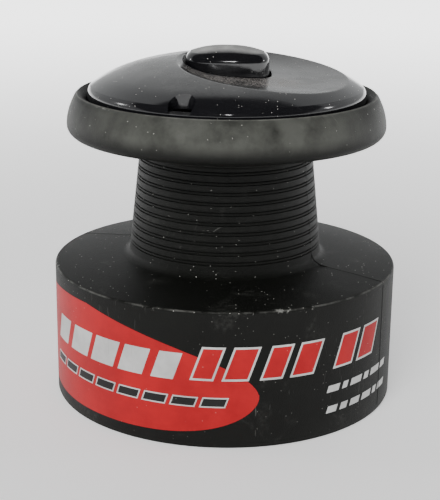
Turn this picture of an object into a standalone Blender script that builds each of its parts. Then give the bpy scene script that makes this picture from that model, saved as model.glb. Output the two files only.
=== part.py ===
"""Fishing line spool with a push-button release, as an assembly of its separate pieces.

The spool stands on its skirt. +Z runs up the spindle towards the release button, the origin is at the
centre of the skirt's lower rim, and the long side of the button lies along X. Sizes are in millimetres
here and become metres where a mesh is made.
"""

import math

import bmesh
import bpy
from mathutils import Matrix, Vector

MM = 0.001

# ---- driving dimensions, in millimetres -----------------------------------------------------

FIT = 0.3                       # gap between pieces that touch
SCREW_FIT = 0.15                # gap round the shank of a screw
ROUND = 48                      # facets of the large turned pieces
SMALL_ROUND = 20                # facets of posts and holes
SCREW_ROUND = 12                # facets of screws

SKIRT_RADIUS = 28.0
SKIRT_HEIGHT = 21.7
SKIRT_WALL = 2.0
SKIRT_EDGE = 0.5                # rounding of the skirt's upper edge
SHOULDER_RISE = 1.1             # from the skirt's edge up to the foot of the arbor
SHOULDER_WALL = 2.4

ARBOR_LENGTH = 17.2             # from the shoulder to the flange
ARBOR_FOOT_RADIUS = 15.8
ARBOR_TOP_RADIUS = 14.0
ARBOR_FILLET = 1.2
ARBOR_WALL = 1.7

FLANGE_RADIUS = 25.63
FLANGE_UNDERSIDE_RISE = 2.8     # slope of the underside, arbor to edge
FLANGE_EDGE_RISE = 1.6          # round lower edge
FLANGE_BAND = 4.9               # from the widest ring up to the rim
FLANGE_LEAN = 1.58              # how much narrower the rim is than the widest ring
FLANGE_BULGE = 1.9              # power of the band's outline
RIM_WALL = 0.58

WEB_THICKNESS = 2.0
WEB_RAISE = 3.0                 # the web's top above the flange's underside at the arbor
CHAMBER_RADIUS = 17.5           # recess under the cap, round the latch
CHAMBER_DEPTH = 2.2

HUB_LENGTH = 22.0
HUB_WALL = 1.4
SHAFT_BORE_RADIUS = 3.25
BUSH_WALL = 1.0
FRONT_BUSH_LENGTH = 6.0
REAR_BUSH_LENGTH = 8.0
RIB_THICKNESS = 1.4
RIB_DROP = 17.0                 # length of the ribs below the web

CAP_MARGIN = 1.75               # from the flange's rim in to the cap
CAP_RIM_PROUD = 1.05            # edge of the dome above the flange's rim
CAP_CROWN = 4.9
CAP_DOME_POWER = 2.66
CAP_WALL = 1.7
DISH_RADIUS = 63.3              # thumb dish pressed into the dome
DISH_OFFSET = (5.2, -3.4)
DISH_SLOPE = (0.1065, -0.0574)  # fall of the dish's rim along +X and -Y
DISH_RIM_DROP = 1.87            # middle of the dish's rim below the top of the dome
DISH_DEPTH = 1.5
NOTCH_RADIUS = 2.0              # half-round notch in the cap's edge
NOTCH_INSET = 1.2
NOTCH_ANGLE = 252.0
NOTCH_DEPTH = 0.85
CAP_BOSS_RADIUS = 2.0
CAP_BOSS_GAP = 0.5              # round the screws' heads and bosses

BUTTON_LENGTH = 13.4
BUTTON_WIDTH = 8.8
BUTTON_CORNER = 2.2
BUTTON_EDGE = 1.1               # rounding of the top edge
BUTTON_PROUD = 1.44             # crown of the button above the dome
BUTTON_CROWN = 0.35
BUTTON_CROWN_RING = 0.55        # share of the top where the crown is three quarters up
BUTTON_GAP = 0.35               # gap round the button in the cap
BUTTON_WALL = 1.3
BUTTON_ROOF = 2.2
BUTTON_STOP_DROP = 5.56         # cap's stop face for the button, below the dome's top
BUTTON_STOP_WALL = 1.2
BUTTON_FLANGE_THICKNESS = 1.0
BUTTON_FLANGE_MARGIN = 0.2      # flange past the legs
BUTTON_LEDGE = 0.9              # least width of the flange under the cap
BUTTON_FLANGE_WIDTH = 6.0
BUTTON_TRAVEL = 2.0

LATCH_TRAVEL = 1.2
LATCH_THICKNESS = 1.0
LATCH_END_WALL = 1.3            # from each slot to the end of the latch
LATCH_SIDE_WALL = 1.0           # on each side of the latch's hole
LATCH_HOLE_CLEARANCE = 0.35     # hole in the latch over the shaft's bore
LATCH_BITE = 0.6                # how far the latch stands into the bore at rest
LEG_CLEARANCE = 0.8             # between the hub's bore and the nearest part of a leg
LEG_THICKNESS = 1.4
LEG_WIDTH = 2.6
LEG_REACH = 0.8                 # the legs' tips below the top of the latch
LEG_CAM_MARGIN = 0.2            # slanted part of a leg past its travel
LEG_PLAY = 0.25
LATCH_RAIL_WALL = 1.0

COVER_THICKNESS = 1.0
COVER_END_WALL = 2.0            # past the middle of the posts
COVER_SPIGOT = (2.0, 1.2)       # radius and height
POST_Y = 3.2
POST_MARGIN = 1.35              # between the latch and the posts
POST_RADIUS = 1.7
SPRING_STOP_SHIFT = 0.7         # spring's stop past the middle of the posts
SPRING_STOP_WALL = 1.2

# Screws: shank radius, head radius, head height, shank length.
COVER_SCREW = (0.7, 1.3, 0.8, 4.0)
CAP_SCREW = (0.9, 2.0, 1.4, 6.2)
GEAR_SCREW = (0.8, 1.5, 0.9, 6.0)
SCREW_SINK = 0.5                # depth of a pilot hole past the end of its screw
DRIVE_WIDTH = 0.4               # slot in a screw's head

# Springs: coil radius, wire radius, turns.
BUTTON_SPRING = (2.5, 0.25, 6)
LATCH_SPRING = (0.5, 0.1, 6)

GEAR_TEETH = 24
GEAR_MARGIN = 2.2               # from the screws' ring out to the teeth's tips
GEAR_TOOTH = 1.1
GEAR_THICKNESS = 2.4
GEAR_SCREW_OFFSET = 1.6         # screws' ring outside the hub
GEAR_BOSS_RADIUS = 2.0
GEAR_BOSS_LENGTH = 8.0
GEAR_SCREW_ANGLES = (90.0, 210.0, 330.0)

# ---- levels along the spindle ---------------------------------------------------------------

ARBOR_FOOT_Z = SKIRT_HEIGHT + SHOULDER_RISE
FLANGE_Z = ARBOR_FOOT_Z + ARBOR_LENGTH
WIDEST_Z = FLANGE_Z + FLANGE_UNDERSIDE_RISE + FLANGE_EDGE_RISE
RIM_Z = WIDEST_Z + FLANGE_BAND
WEB_TOP_Z = FLANGE_Z + WEB_RAISE
WEB_UNDER_Z = WEB_TOP_Z - WEB_THICKNESS
POCKET_Z = WEB_TOP_Z + CHAMBER_DEPTH
CAP_EDGE_Z = RIM_Z + CAP_RIM_PROUD
CAP_FOOT_Z = POCKET_Z + FIT
DOME_TOP_Z = CAP_EDGE_Z + CAP_CROWN
BUTTON_TOP_Z = DOME_TOP_Z + BUTTON_PROUD
BUTTON_STOP_Z = DOME_TOP_Z - BUTTON_STOP_DROP
BUTTON_FLANGE_TOP_Z = BUTTON_STOP_Z - FIT
BUTTON_FLANGE_Z = BUTTON_FLANGE_TOP_Z - BUTTON_FLANGE_THICKNESS
LATCH_Z = WEB_TOP_Z + FIT
LATCH_TOP_Z = LATCH_Z + LATCH_THICKNESS
COVER_Z = LATCH_TOP_Z + FIT
COVER_TOP_Z = COVER_Z + COVER_THICKNESS
POST_TOP_Z = COVER_Z - FIT
LEG_TIP_Z = LATCH_TOP_Z - LEG_REACH
HUB_Z = WEB_UNDER_Z - HUB_LENGTH
GEAR_TOP_Z = HUB_Z - FIT
GEAR_Z = GEAR_TOP_Z - GEAR_THICKNESS

# ---- sizes that fit each other ---------------------------------------------------------------

SKIRT_INNER_RADIUS = SKIRT_RADIUS - SKIRT_WALL
RIM_RADIUS = FLANGE_RADIUS - FLANGE_LEAN
CAP_RADIUS = RIM_RADIUS - CAP_MARGIN
POCKET_RADIUS = CAP_RADIUS + FIT
CAP_INNER_RADIUS = CAP_RADIUS - CAP_WALL
HUB_BORE_RADIUS = SHAFT_BORE_RADIUS + BUSH_WALL + SCREW_FIT
HUB_RADIUS = HUB_BORE_RADIUS + HUB_WALL
GEAR_SCREW_RING = HUB_RADIUS + GEAR_SCREW_OFFSET
GEAR_RADIUS = GEAR_SCREW_RING + GEAR_MARGIN

CAM_SLOPE = LATCH_TRAVEL / BUTTON_TRAVEL
LEG_CAM_HEIGHT = BUTTON_TRAVEL + LEG_REACH + LEG_CAM_MARGIN
LEG_SHIFT = CAM_SLOPE * LEG_CAM_HEIGHT
LEG_NEAR = HUB_BORE_RADIUS + LEG_CLEARANCE
LEG_TIP_X = (LEG_NEAR, -LEG_NEAR - LEG_THICKNESS - LATCH_TRAVEL - LEG_PLAY)
BUTTON_FLANGE_HALF = max(
    LEG_TIP_X[0] + LEG_SHIFT + LEG_THICKNESS + BUTTON_FLANGE_MARGIN,
    BUTTON_LENGTH / 2 + BUTTON_GAP + BUTTON_LEDGE,
)
BUTTON_POCKET_HALF = -(LEG_TIP_X[1] + LEG_SHIFT + LEG_THICKNESS) - FIT / 2

LATCH_HOLE_RADIUS = SHAFT_BORE_RADIUS + LATCH_HOLE_CLEARANCE
LATCH_HOLE_X = SHAFT_BORE_RADIUS - LATCH_BITE - LATCH_HOLE_RADIUS
LATCH_WIDTH = 2 * (LATCH_HOLE_RADIUS + LATCH_SIDE_WALL)
LATCH_NOSE = LEG_TIP_X[0] + CAM_SLOPE * LEG_REACH + LEG_THICKNESS + LEG_PLAY + LATCH_END_WALL
LATCH_TAIL = LEG_PLAY + LATCH_END_WALL - LEG_TIP_X[1]
LATCH_RAIL_Y = LATCH_WIDTH / 2 + FIT
POST_PLACE = (LATCH_TAIL + POST_MARGIN + POST_RADIUS, POST_Y)
LATCH_RAIL_HALF = POST_PLACE[0] - POST_RADIUS - 2 * FIT
SPRING_STOP_X = POST_PLACE[0] + SPRING_STOP_SHIFT
COVER_LENGTH = 2 * (POST_PLACE[0] + COVER_END_WALL)
COVER_WIDTH = 2 * (LATCH_RAIL_Y + LATCH_RAIL_WALL)

CAP_SCREW_Y = COVER_WIDTH / 2 + CAP_BOSS_GAP + CAP_BOSS_RADIUS
CAP_SCREW_RING = ARBOR_TOP_RADIUS - ARBOR_WALL - CAP_SCREW[1] - CAP_BOSS_GAP
CAP_SCREW_PLACE = (math.sqrt(CAP_SCREW_RING**2 - CAP_SCREW_Y**2), CAP_SCREW_Y)


# ---- making and joining shapes ---------------------------------------------------------------

def ring_points(radius, count, z, centre=(0.0, 0.0)):
    """Points on a level circle, counted anticlockwise from +X."""
    step = 2 * math.pi / count
    return [
        (centre[0] + radius * math.cos(i * step), centre[1] + radius * math.sin(i * step), z)
        for i in range(count)
    ]


def mesh_of(points, faces):
    """A closed mesh in metres from points in millimetres, with its faces turned outwards."""
    work = bmesh.new()
    corners = [work.verts.new(Vector(point) * MM) for point in points]
    for face in faces:
        work.faces.new([corners[i] for i in face])
    bmesh.ops.recalc_face_normals(work, faces=work.faces)
    mesh = bpy.data.meshes.new("shape")
    work.to_mesh(mesh)
    work.free()
    return mesh


def turned(profile, count=ROUND):
    """Turns an outline of (radius, z) about Z. An outline that ends on the axis at both ends is solid."""
    points = []
    rings = []
    for radius, z in profile:
        if radius == 0:
            rings.append([len(points)] * count)
            points.append((0.0, 0.0, z))
        else:
            rings.append(list(range(len(points), len(points) + count)))
            points.extend(ring_points(radius, count, z))
    faces = []
    for i, low in enumerate(rings):
        high = rings[(i + 1) % len(rings)]
        for j in range(count):
            k = (j + 1) % count
            corners = list(dict.fromkeys((low[j], low[k], high[k], high[j])))
            if len(corners) > 2:
                faces.append(corners)
    return mesh_of(points, faces)


def prism(outline, low, high):
    """A flat outline of (x, y) drawn up from one level to another."""
    count = len(outline)
    points = [(x, y, low) for x, y in outline] + [(x, y, high) for x, y in outline]
    faces = [list(range(count)), list(range(count, 2 * count))]
    faces += [[i, (i + 1) % count, (i + 1) % count + count, i + count] for i in range(count)]
    return mesh_of(points, faces)


def box(low, high):
    """A block between two opposite corners."""
    outline = [(low[0], low[1]), (high[0], low[1]), (high[0], high[1]), (low[0], high[1])]
    return prism(outline, low[2], high[2])


def post(radius, low, high, centre=(0.0, 0.0), count=SMALL_ROUND):
    """An upright round post."""
    outline = [(x, y) for x, y, _ in ring_points(radius, count, 0.0, centre)]
    return prism(outline, low, high)


def rounded_outline(length, width, corner, steps=4):
    """A rectangle with round corners about the origin, as (x, y) points."""
    outline = []
    for quarter, (sx, sy) in enumerate(((1, 1), (-1, 1), (-1, -1), (1, -1))):
        for i in range(steps + 1):
            angle = math.radians(90.0 * (quarter + i / steps))
            outline.append(
                (
                    sx * (length / 2 - corner) + corner * math.cos(angle),
                    sy * (width / 2 - corner) + corner * math.sin(angle),
                )
            )
    return outline


def arc(centre, radius, start, end, steps):
    """Points of (r, z) along an arc, from one angle to another in degrees."""
    return [
        (
            centre[0] + radius * math.cos(math.radians(start + (end - start) * i / steps)),
            centre[1] + radius * math.sin(math.radians(start + (end - start) * i / steps)),
        )
        for i in range(steps + 1)
    ]


def combined(mesh, tools, operation):
    """The mesh after a Boolean with each tool in turn."""
    for tool in tools:
        piece = bpy.data.objects.new("work", mesh)
        cutter = bpy.data.objects.new("cutter", tool)
        for obj in (piece, cutter):
            bpy.context.scene.collection.objects.link(obj)
        boolean = piece.modifiers.new("boolean", "BOOLEAN")
        boolean.object = cutter
        boolean.operation = operation
        graph = bpy.context.evaluated_depsgraph_get()
        mesh = bpy.data.meshes.new_from_object(piece.evaluated_get(graph))
        bpy.data.objects.remove(piece)
        bpy.data.objects.remove(cutter)
    return mesh


def cut(mesh, *tools):
    """Takes each tool's shape away from the mesh."""
    return combined(mesh, tools, "DIFFERENCE")


def joined(mesh, *tools):
    """Adds each tool's shape to the mesh."""
    return combined(mesh, tools, "UNION")


def moved(mesh, place, turn=0.0):
    """The mesh turned about Z by degrees, then moved."""
    mesh.transform(Matrix.Translation(Vector(place) * MM) @ Matrix.Rotation(math.radians(turn), 4, "Z"))
    return mesh


def finish(name, colour, roughness, metallic=0.0):
    """A plain material with its own colour, roughness and metallic value."""
    material = bpy.data.materials.new(name)
    material.use_nodes = True
    shader = material.node_tree.nodes["Principled BSDF"]
    shader.inputs["Base Color"].default_value = (*colour, 1.0)
    shader.inputs["Roughness"].default_value = roughness
    shader.inputs["Metallic"].default_value = metallic
    return material


def place(name, mesh, material, origin=(0.0, 0.0, 0.0), parent=None):
    """Puts a piece in the scene, with its origin at the given point of the assembly."""
    mesh.transform(Matrix.Translation(-Vector(origin) * MM))
    mesh.name = name
    mesh.materials.clear()
    mesh.materials.append(material)
    mesh.shade_smooth()
    mesh.set_sharp_from_angle(angle=math.radians(30))
    piece = bpy.data.objects.new(name, mesh)
    bpy.context.scene.collection.objects.link(piece)
    piece.location = Vector(origin) * MM
    if parent:
        piece.parent = parent
        piece.matrix_parent_inverse = Matrix.Translation(-parent.location)
    return piece


# ---- shared places ---------------------------------------------------------------------------

def four_places(place_xy):
    """The four mirror places of one point."""
    x, y = place_xy
    return [(x, y), (-x, y), (-x, -y), (x, -y)]


def dome_z(radius, edge_radius, edge_z, crown):
    """Height of a dome at a radius."""
    return edge_z + crown * (1 - min(radius / edge_radius, 1.0) ** CAP_DOME_POWER)


def dish(wall):
    """A ball-ended tool for the thumb dish. The wall makes it larger all round."""
    normal = Vector((DISH_SLOPE[0], DISH_SLOPE[1], 1.0)).normalized()
    rim_centre = Vector((*DISH_OFFSET, DOME_TOP_Z - DISH_RIM_DROP))
    centre = rim_centre + normal * (DISH_RADIUS - DISH_DEPTH)
    radius = DISH_RADIUS + wall
    reach = math.degrees(math.asin(min(0.9, 1.3 * CAP_RADIUS / radius)))
    outline = [(0.0, -radius)] + arc((0.0, 0.0), radius, -90.0 + reach / 10, -90.0 + reach, 9)
    outline += [(0.0, outline[-1][1])]
    mesh = turned(outline, 48)
    tilt = Vector((0.0, 0.0, 1.0)).rotation_difference(normal).to_matrix().to_4x4()
    mesh.transform(Matrix.Translation(centre * MM) @ tilt)
    return mesh


def leg_slot(back_x, low, high, reach, half_width):
    """A slot that a cam leg passes through, from its back face to its front face plus its reach."""
    return box(
        (back_x - LEG_PLAY, -half_width, low),
        (back_x + reach + LEG_THICKNESS + LEG_PLAY, half_width, high),
    )


# ---- pieces ----------------------------------------------------------------------------------

def spool_body(material):
    """Skirt, shoulder, arbor, flange, web and hub, moulded in one."""
    edge = SKIRT_EDGE
    shoulder_radius = ARBOR_FOOT_RADIUS + ARBOR_FILLET
    outline = [(SKIRT_RADIUS, 0.0)]
    outline += arc((SKIRT_RADIUS - edge, SKIRT_HEIGHT - edge), edge, 0.0, 85.0, 3)
    fillet_centre = (shoulder_radius, ARBOR_FOOT_Z + ARBOR_FILLET)
    outline += arc(fillet_centre, ARBOR_FILLET, -90.0, -180.0, 3)
    outline.append((ARBOR_TOP_RADIUS, FLANGE_Z))
    edge_foot = (FLANGE_RADIUS - FLANGE_EDGE_RISE, FLANGE_Z + FLANGE_UNDERSIDE_RISE)
    outline += arc((edge_foot[0], WIDEST_Z), FLANGE_EDGE_RISE, -80.0, 0.0, 3)
    steps = 5
    for i in range(1, steps + 1):
        outline.append(
            (FLANGE_RADIUS - FLANGE_LEAN * (i / steps) ** FLANGE_BULGE, WIDEST_Z + FLANGE_BAND * i / steps)
        )
    outline.append((RIM_RADIUS - RIM_WALL, RIM_Z))
    outline.append((POCKET_RADIUS, RIM_Z - RIM_WALL))
    outline.append((POCKET_RADIUS, POCKET_Z))
    outline.append((CHAMBER_RADIUS, POCKET_Z))
    outline.append((CHAMBER_RADIUS, WEB_TOP_Z))
    outline.append((HUB_BORE_RADIUS, WEB_TOP_Z))
    outline.append((HUB_BORE_RADIUS, HUB_Z))
    outline.append((HUB_RADIUS, HUB_Z))
    outline.append((HUB_RADIUS, WEB_UNDER_Z))
    outline.append((ARBOR_TOP_RADIUS - ARBOR_WALL, WEB_UNDER_Z))
    outline.append((ARBOR_FOOT_RADIUS - ARBOR_WALL, ARBOR_FOOT_Z - SHOULDER_WALL + SHOULDER_RISE))
    outline.append((ARBOR_FOOT_RADIUS - ARBOR_WALL, ARBOR_FOOT_Z - SHOULDER_WALL))
    outline.append((SKIRT_INNER_RADIUS, SKIRT_HEIGHT - SHOULDER_WALL))
    outline.append((SKIRT_INNER_RADIUS, 0.0))
    mesh = turned(outline)

    rib_end = ARBOR_TOP_RADIUS - ARBOR_WALL / 2
    for angle in GEAR_SCREW_ANGLES:
        half = RIB_THICKNESS / 2
        rib_start = HUB_BORE_RADIUS + HUB_WALL / 2
        rib_top = WEB_UNDER_Z + WEB_THICKNESS / 2
        rib = box((rib_start, -half, WEB_UNDER_Z - RIB_DROP), (rib_end, half, rib_top))
        boss = post(GEAR_BOSS_RADIUS, HUB_Z, HUB_Z + GEAR_BOSS_LENGTH, (GEAR_SCREW_RING, 0.0))
        mesh = joined(mesh, moved(rib, (0, 0, 0), angle), moved(boss, (0, 0, 0), angle))
        pilot = post(
            GEAR_SCREW[0] + SCREW_FIT,
            HUB_Z - 1.0,
            GEAR_Z + GEAR_SCREW[3] + SCREW_SINK,
            (GEAR_SCREW_RING, 0.0),
        )
        mesh = cut(mesh, moved(pilot, (0, 0, 0), angle))

    root = WEB_TOP_Z - WEB_THICKNESS / 2
    for x, y in four_places(POST_PLACE):
        mesh = joined(mesh, post(POST_RADIUS, root, POST_TOP_Z, (x, y)))
    for side in (-1, 1):
        rail = sorted((side * LATCH_RAIL_Y, side * (LATCH_RAIL_Y + LATCH_RAIL_WALL)))
        mesh = joined(mesh, box((-LATCH_RAIL_HALF, rail[0], root), (LATCH_RAIL_HALF, rail[1], POST_TOP_Z)))
    stop_half = POST_PLACE[1] - POST_RADIUS / 2
    stop = box((SPRING_STOP_X, -stop_half, root), (SPRING_STOP_X + SPRING_STOP_WALL, stop_half, POST_TOP_Z))
    mesh = joined(mesh, stop)

    pilot_floor = COVER_TOP_Z - COVER_SCREW[3] - SCREW_SINK
    for x, y in four_places(POST_PLACE):
        mesh = cut(mesh, post(COVER_SCREW[0] + SCREW_FIT, pilot_floor, POST_TOP_Z + 1.0, (x, y)))
    for x, y in four_places(CAP_SCREW_PLACE):
        mesh = cut(mesh, post(CAP_SCREW[0] + SCREW_FIT, WEB_UNDER_Z - 1.0, WEB_TOP_Z + 1.0, (x, y)))
    for back_x in LEG_TIP_X:
        reach = CAM_SLOPE * (WEB_TOP_Z - LEG_TIP_Z + BUTTON_TRAVEL)
        slot = leg_slot(back_x, WEB_UNDER_Z - 1.0, WEB_TOP_Z + 1.0, reach, LEG_WIDTH / 2 + FIT)
        mesh = cut(mesh, slot)
    return place("spool_body", mesh, material)


def front_cap(material, parent):
    """The domed cover of the button, with its thumb dish, screw bosses and button guide."""
    steps = 10
    outline = [(CAP_RADIUS, CAP_FOOT_Z)]
    for i in range(steps):
        radius = CAP_RADIUS * math.cos(math.pi / 2 * i / steps)
        outline.append((radius, dome_z(radius, CAP_RADIUS, CAP_EDGE_Z, CAP_CROWN)))
    outline += [(0.0, DOME_TOP_Z), (0.0, CAP_FOOT_Z)]
    mesh = turned(outline)

    inner_edge = CAP_EDGE_Z - CAP_WALL / 4
    inner_crown = DOME_TOP_Z - CAP_WALL - inner_edge
    hollow = [(CAP_INNER_RADIUS, CAP_FOOT_Z - 1.0)]
    for i in range(steps):
        radius = CAP_INNER_RADIUS * math.cos(math.pi / 2 * i / steps)
        hollow.append((radius, dome_z(radius, CAP_INNER_RADIUS, inner_edge, inner_crown)))
    hollow += [(0.0, DOME_TOP_Z - CAP_WALL), (0.0, CAP_FOOT_Z - 1.0)]
    angle = math.radians(NOTCH_ANGLE)
    notch_ring = CAP_RADIUS - NOTCH_INSET
    notch_place = (notch_ring * math.cos(angle), notch_ring * math.sin(angle))
    notch_floor = CAP_EDGE_Z - NOTCH_DEPTH
    notch_back = post(NOTCH_RADIUS + CAP_WALL / 2, notch_floor - CAP_WALL / 2, DOME_TOP_Z, notch_place)
    mesh = cut(mesh, cut(turned(hollow), dish(CAP_WALL), notch_back))

    for x, y in four_places(CAP_SCREW_PLACE):
        top = dome_z(math.hypot(x, y) + CAP_BOSS_RADIUS, CAP_RADIUS, CAP_EDGE_Z, CAP_CROWN) - CAP_WALL / 3
        mesh = joined(mesh, post(CAP_BOSS_RADIUS, WEB_TOP_Z + FIT, top, (x, y)))
    hole_length = BUTTON_LENGTH + 2 * BUTTON_GAP
    hole_width = BUTTON_WIDTH + 2 * BUTTON_GAP
    guide = rounded_outline(
        hole_length + 2 * BUTTON_STOP_WALL,
        hole_width + 2 * BUTTON_STOP_WALL,
        BUTTON_CORNER + BUTTON_GAP + BUTTON_STOP_WALL,
    )
    mesh = joined(mesh, prism(guide, BUTTON_STOP_Z, DOME_TOP_Z - CAP_WALL / 2))
    mesh = cut(mesh, dish(0.0), post(NOTCH_RADIUS, notch_floor, DOME_TOP_Z + 1.0, notch_place))
    hole = rounded_outline(hole_length, hole_width, BUTTON_CORNER + BUTTON_GAP)
    mesh = cut(mesh, prism(hole, BUTTON_STOP_Z - 1.0, DOME_TOP_Z + 1.0))
    pilot_top = WEB_UNDER_Z - FIT + CAP_SCREW[3] + SCREW_SINK
    for x, y in four_places(CAP_SCREW_PLACE):
        mesh = cut(mesh, post(CAP_SCREW[0] + SCREW_FIT, WEB_TOP_Z, pilot_top, (x, y)))
    return place("front_cap", mesh, material, (0.0, 0.0, CAP_FOOT_Z), parent)


def release_button(material, parent):
    """The push button: a crowned hollow block with a flange and two slanted cam legs."""
    levels = 4
    outlines = []
    shoulder_z = BUTTON_TOP_Z - BUTTON_CROWN - BUTTON_EDGE
    for z, inset in [(BUTTON_FLANGE_Z, 0.0), (shoulder_z, 0.0)] + [
        (
            shoulder_z + BUTTON_EDGE * math.sin(math.pi / 2 * i / levels),
            BUTTON_EDGE * (1 - math.cos(math.pi / 2 * i / levels)),
        )
        for i in range(1, levels + 1)
    ]:
        length = BUTTON_LENGTH - 2 * inset
        width = BUTTON_WIDTH - 2 * inset
        outlines.append([(x, y, z) for x, y in rounded_outline(length, width, BUTTON_CORNER - inset)])
    crown_z = BUTTON_TOP_Z - BUTTON_CROWN / 4
    outlines.append([(BUTTON_CROWN_RING * x, BUTTON_CROWN_RING * y, crown_z) for x, y, _ in outlines[-1]])
    count = len(outlines[0])
    points = [point for outline in outlines for point in outline] + [(0.0, 0.0, BUTTON_TOP_Z)]
    faces = [list(range(count))]
    for level in range(len(outlines) - 1):
        for i in range(count):
            j = (i + 1) % count
            low = level * count
            faces.append([low + i, low + j, low + count + j, low + count + i])
    last = (len(outlines) - 1) * count
    faces += [[last + i, last + (i + 1) % count, len(points) - 1] for i in range(count)]
    mesh = mesh_of(points, faces)

    side = BUTTON_FLANGE_WIDTH / 2
    flange = box(
        (-BUTTON_FLANGE_HALF, -side, BUTTON_FLANGE_Z),
        (BUTTON_FLANGE_HALF, side, BUTTON_FLANGE_TOP_Z),
    )
    mesh = joined(mesh, flange)
    pocket = rounded_outline(
        2 * BUTTON_POCKET_HALF, BUTTON_WIDTH - 2 * BUTTON_WALL, BUTTON_CORNER - BUTTON_WALL / 2
    )
    mesh = cut(mesh, prism(pocket, BUTTON_FLANGE_Z - 1.0, BUTTON_TOP_Z - BUTTON_ROOF))
    for back_x in LEG_TIP_X:
        cam_top = LEG_TIP_Z + LEG_CAM_HEIGHT
        side_view = [
            (back_x, LEG_TIP_Z),
            (back_x + LEG_THICKNESS, LEG_TIP_Z),
            (back_x + LEG_THICKNESS + LEG_SHIFT, cam_top),
            (back_x + LEG_THICKNESS + LEG_SHIFT, BUTTON_FLANGE_Z + BUTTON_FLANGE_THICKNESS / 2),
            (back_x + LEG_SHIFT, BUTTON_FLANGE_Z + BUTTON_FLANGE_THICKNESS / 2),
            (back_x + LEG_SHIFT, cam_top),
        ]
        leg = prism(side_view, -LEG_WIDTH / 2, LEG_WIDTH / 2)
        leg.transform(Matrix.Rotation(math.pi / 2, 4, "X"))
        mesh = joined(mesh, leg)
    return place("release_button", mesh, material, (0.0, 0.0, BUTTON_FLANGE_TOP_Z), parent)


def latch_plate(material, parent):
    """The sliding plate that bites into the groove of the reel's shaft."""
    half = LATCH_WIDTH / 2
    mesh = box((-LATCH_TAIL, -half, LATCH_Z), (LATCH_NOSE, half, LATCH_TOP_Z))
    mesh = cut(mesh, post(LATCH_HOLE_RADIUS, LATCH_Z - 1.0, LATCH_TOP_Z + 1.0, (LATCH_HOLE_X, 0.0), 32))
    for back_x in LEG_TIP_X:
        reach = CAM_SLOPE * LEG_REACH
        slot = leg_slot(back_x, LATCH_Z - 1.0, LATCH_TOP_Z + 1.0, reach, LEG_WIDTH / 2 + FIT)
        mesh = cut(mesh, slot)
    return place("latch_plate", mesh, material, (0.0, 0.0, LATCH_Z), parent)


def latch_cover(material, parent):
    """The plate over the latch, with the spigot that seats the button's spring."""
    outline = rounded_outline(COVER_LENGTH, COVER_WIDTH, POST_RADIUS)
    mesh = prism(outline, COVER_Z, COVER_TOP_Z)
    mesh = joined(mesh, post(COVER_SPIGOT[0], COVER_Z + COVER_THICKNESS / 2, COVER_TOP_Z + COVER_SPIGOT[1]))
    for x, y in four_places(POST_PLACE):
        mesh = cut(mesh, post(COVER_SCREW[0] + SCREW_FIT, COVER_Z - 1.0, COVER_TOP_Z + 1.0, (x, y)))
    for back_x in LEG_TIP_X:
        start = CAM_SLOPE * (COVER_Z - LEG_TIP_Z)
        reach = LEG_SHIFT - start
        slot = leg_slot(back_x + start, COVER_Z - 1.0, COVER_TOP_Z + 1.0, reach, LEG_WIDTH / 2 + FIT)
        mesh = cut(mesh, slot)
    return place("latch_cover", mesh, material, (0.0, 0.0, COVER_Z), parent)


def screw(name, size, place_xy, head_z, up, material, parent):
    """A slotted screw. Its head's seat is at head_z, and its shank runs up or down from there."""
    shank, head, height, length = size
    profile = [(0.0, length), (shank * 0.5, length), (shank, length - shank * 0.6), (shank, 0.0)]
    profile += [(head, 0.0), (head, -height * 0.6), (head * 0.7, -height), (0.0, -height)]
    mesh = turned(profile, SCREW_ROUND)
    slot = box((-head - 1.0, -DRIVE_WIDTH / 2, -height - 1.0), (head + 1.0, DRIVE_WIDTH / 2, -height * 0.5))
    mesh = cut(mesh, slot)
    if not up:
        mesh.transform(Matrix.Rotation(math.pi, 4, "X"))
    moved(mesh, (*place_xy, head_z))
    return place(name, mesh, material, (*place_xy, head_z), parent)


def coil(size, low, high, material, name, turn_matrix, origin, parent):
    """A coil spring along Z between two levels, its wire's ends closed, then set in place."""
    radius, wire, turns = size
    per_turn = 12
    sides = 5
    count = turns * per_turn
    points = []
    for i in range(count + 1):
        angle = 2 * math.pi * i / per_turn
        centre = Vector((radius * math.cos(angle), radius * math.sin(angle), 0.0))
        centre.z = low + wire + (high - low - 2 * wire) * i / count
        outward = Vector((math.cos(angle), math.sin(angle), 0.0))
        for j in range(sides):
            lean = 2 * math.pi * j / sides
            points.append(centre + wire * (outward * math.cos(lean) + Vector((0, 0, 1)) * math.sin(lean)))
    faces = [list(range(sides)), list(range(count * sides, (count + 1) * sides))]
    for i in range(count):
        for j in range(sides):
            k = (j + 1) % sides
            low_ring = i * sides
            faces.append([low_ring + j, low_ring + k, low_ring + sides + k, low_ring + sides + j])
    mesh = mesh_of(points, faces)
    mesh.transform(turn_matrix)
    return place(name, mesh, material, origin, parent)


def click_gear(material, parent):
    """The toothed ring under the hub that the reel's click spring rides on."""
    outline = []
    for i in range(GEAR_TEETH):
        for share, depth in ((0.0, 1.0), (0.25, 0.0), (0.5, 0.0), (0.75, 1.0)):
            angle = 2 * math.pi * (i + share) / GEAR_TEETH
            radius = GEAR_RADIUS - GEAR_TOOTH * depth
            outline.append((radius * math.cos(angle), radius * math.sin(angle)))
    mesh = prism(outline, GEAR_Z, GEAR_TOP_Z)
    mesh = cut(mesh, post(HUB_BORE_RADIUS, GEAR_Z - 1.0, GEAR_TOP_Z + 1.0, count=48))
    for angle in GEAR_SCREW_ANGLES:
        hole = post(GEAR_SCREW[0] + SCREW_FIT, GEAR_Z - 1.0, GEAR_TOP_Z + 1.0, (GEAR_SCREW_RING, 0.0))
        mesh = cut(mesh, moved(hole, (0, 0, 0), angle))
    return place("click_gear", mesh, material, (0.0, 0.0, GEAR_Z), parent)


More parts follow.
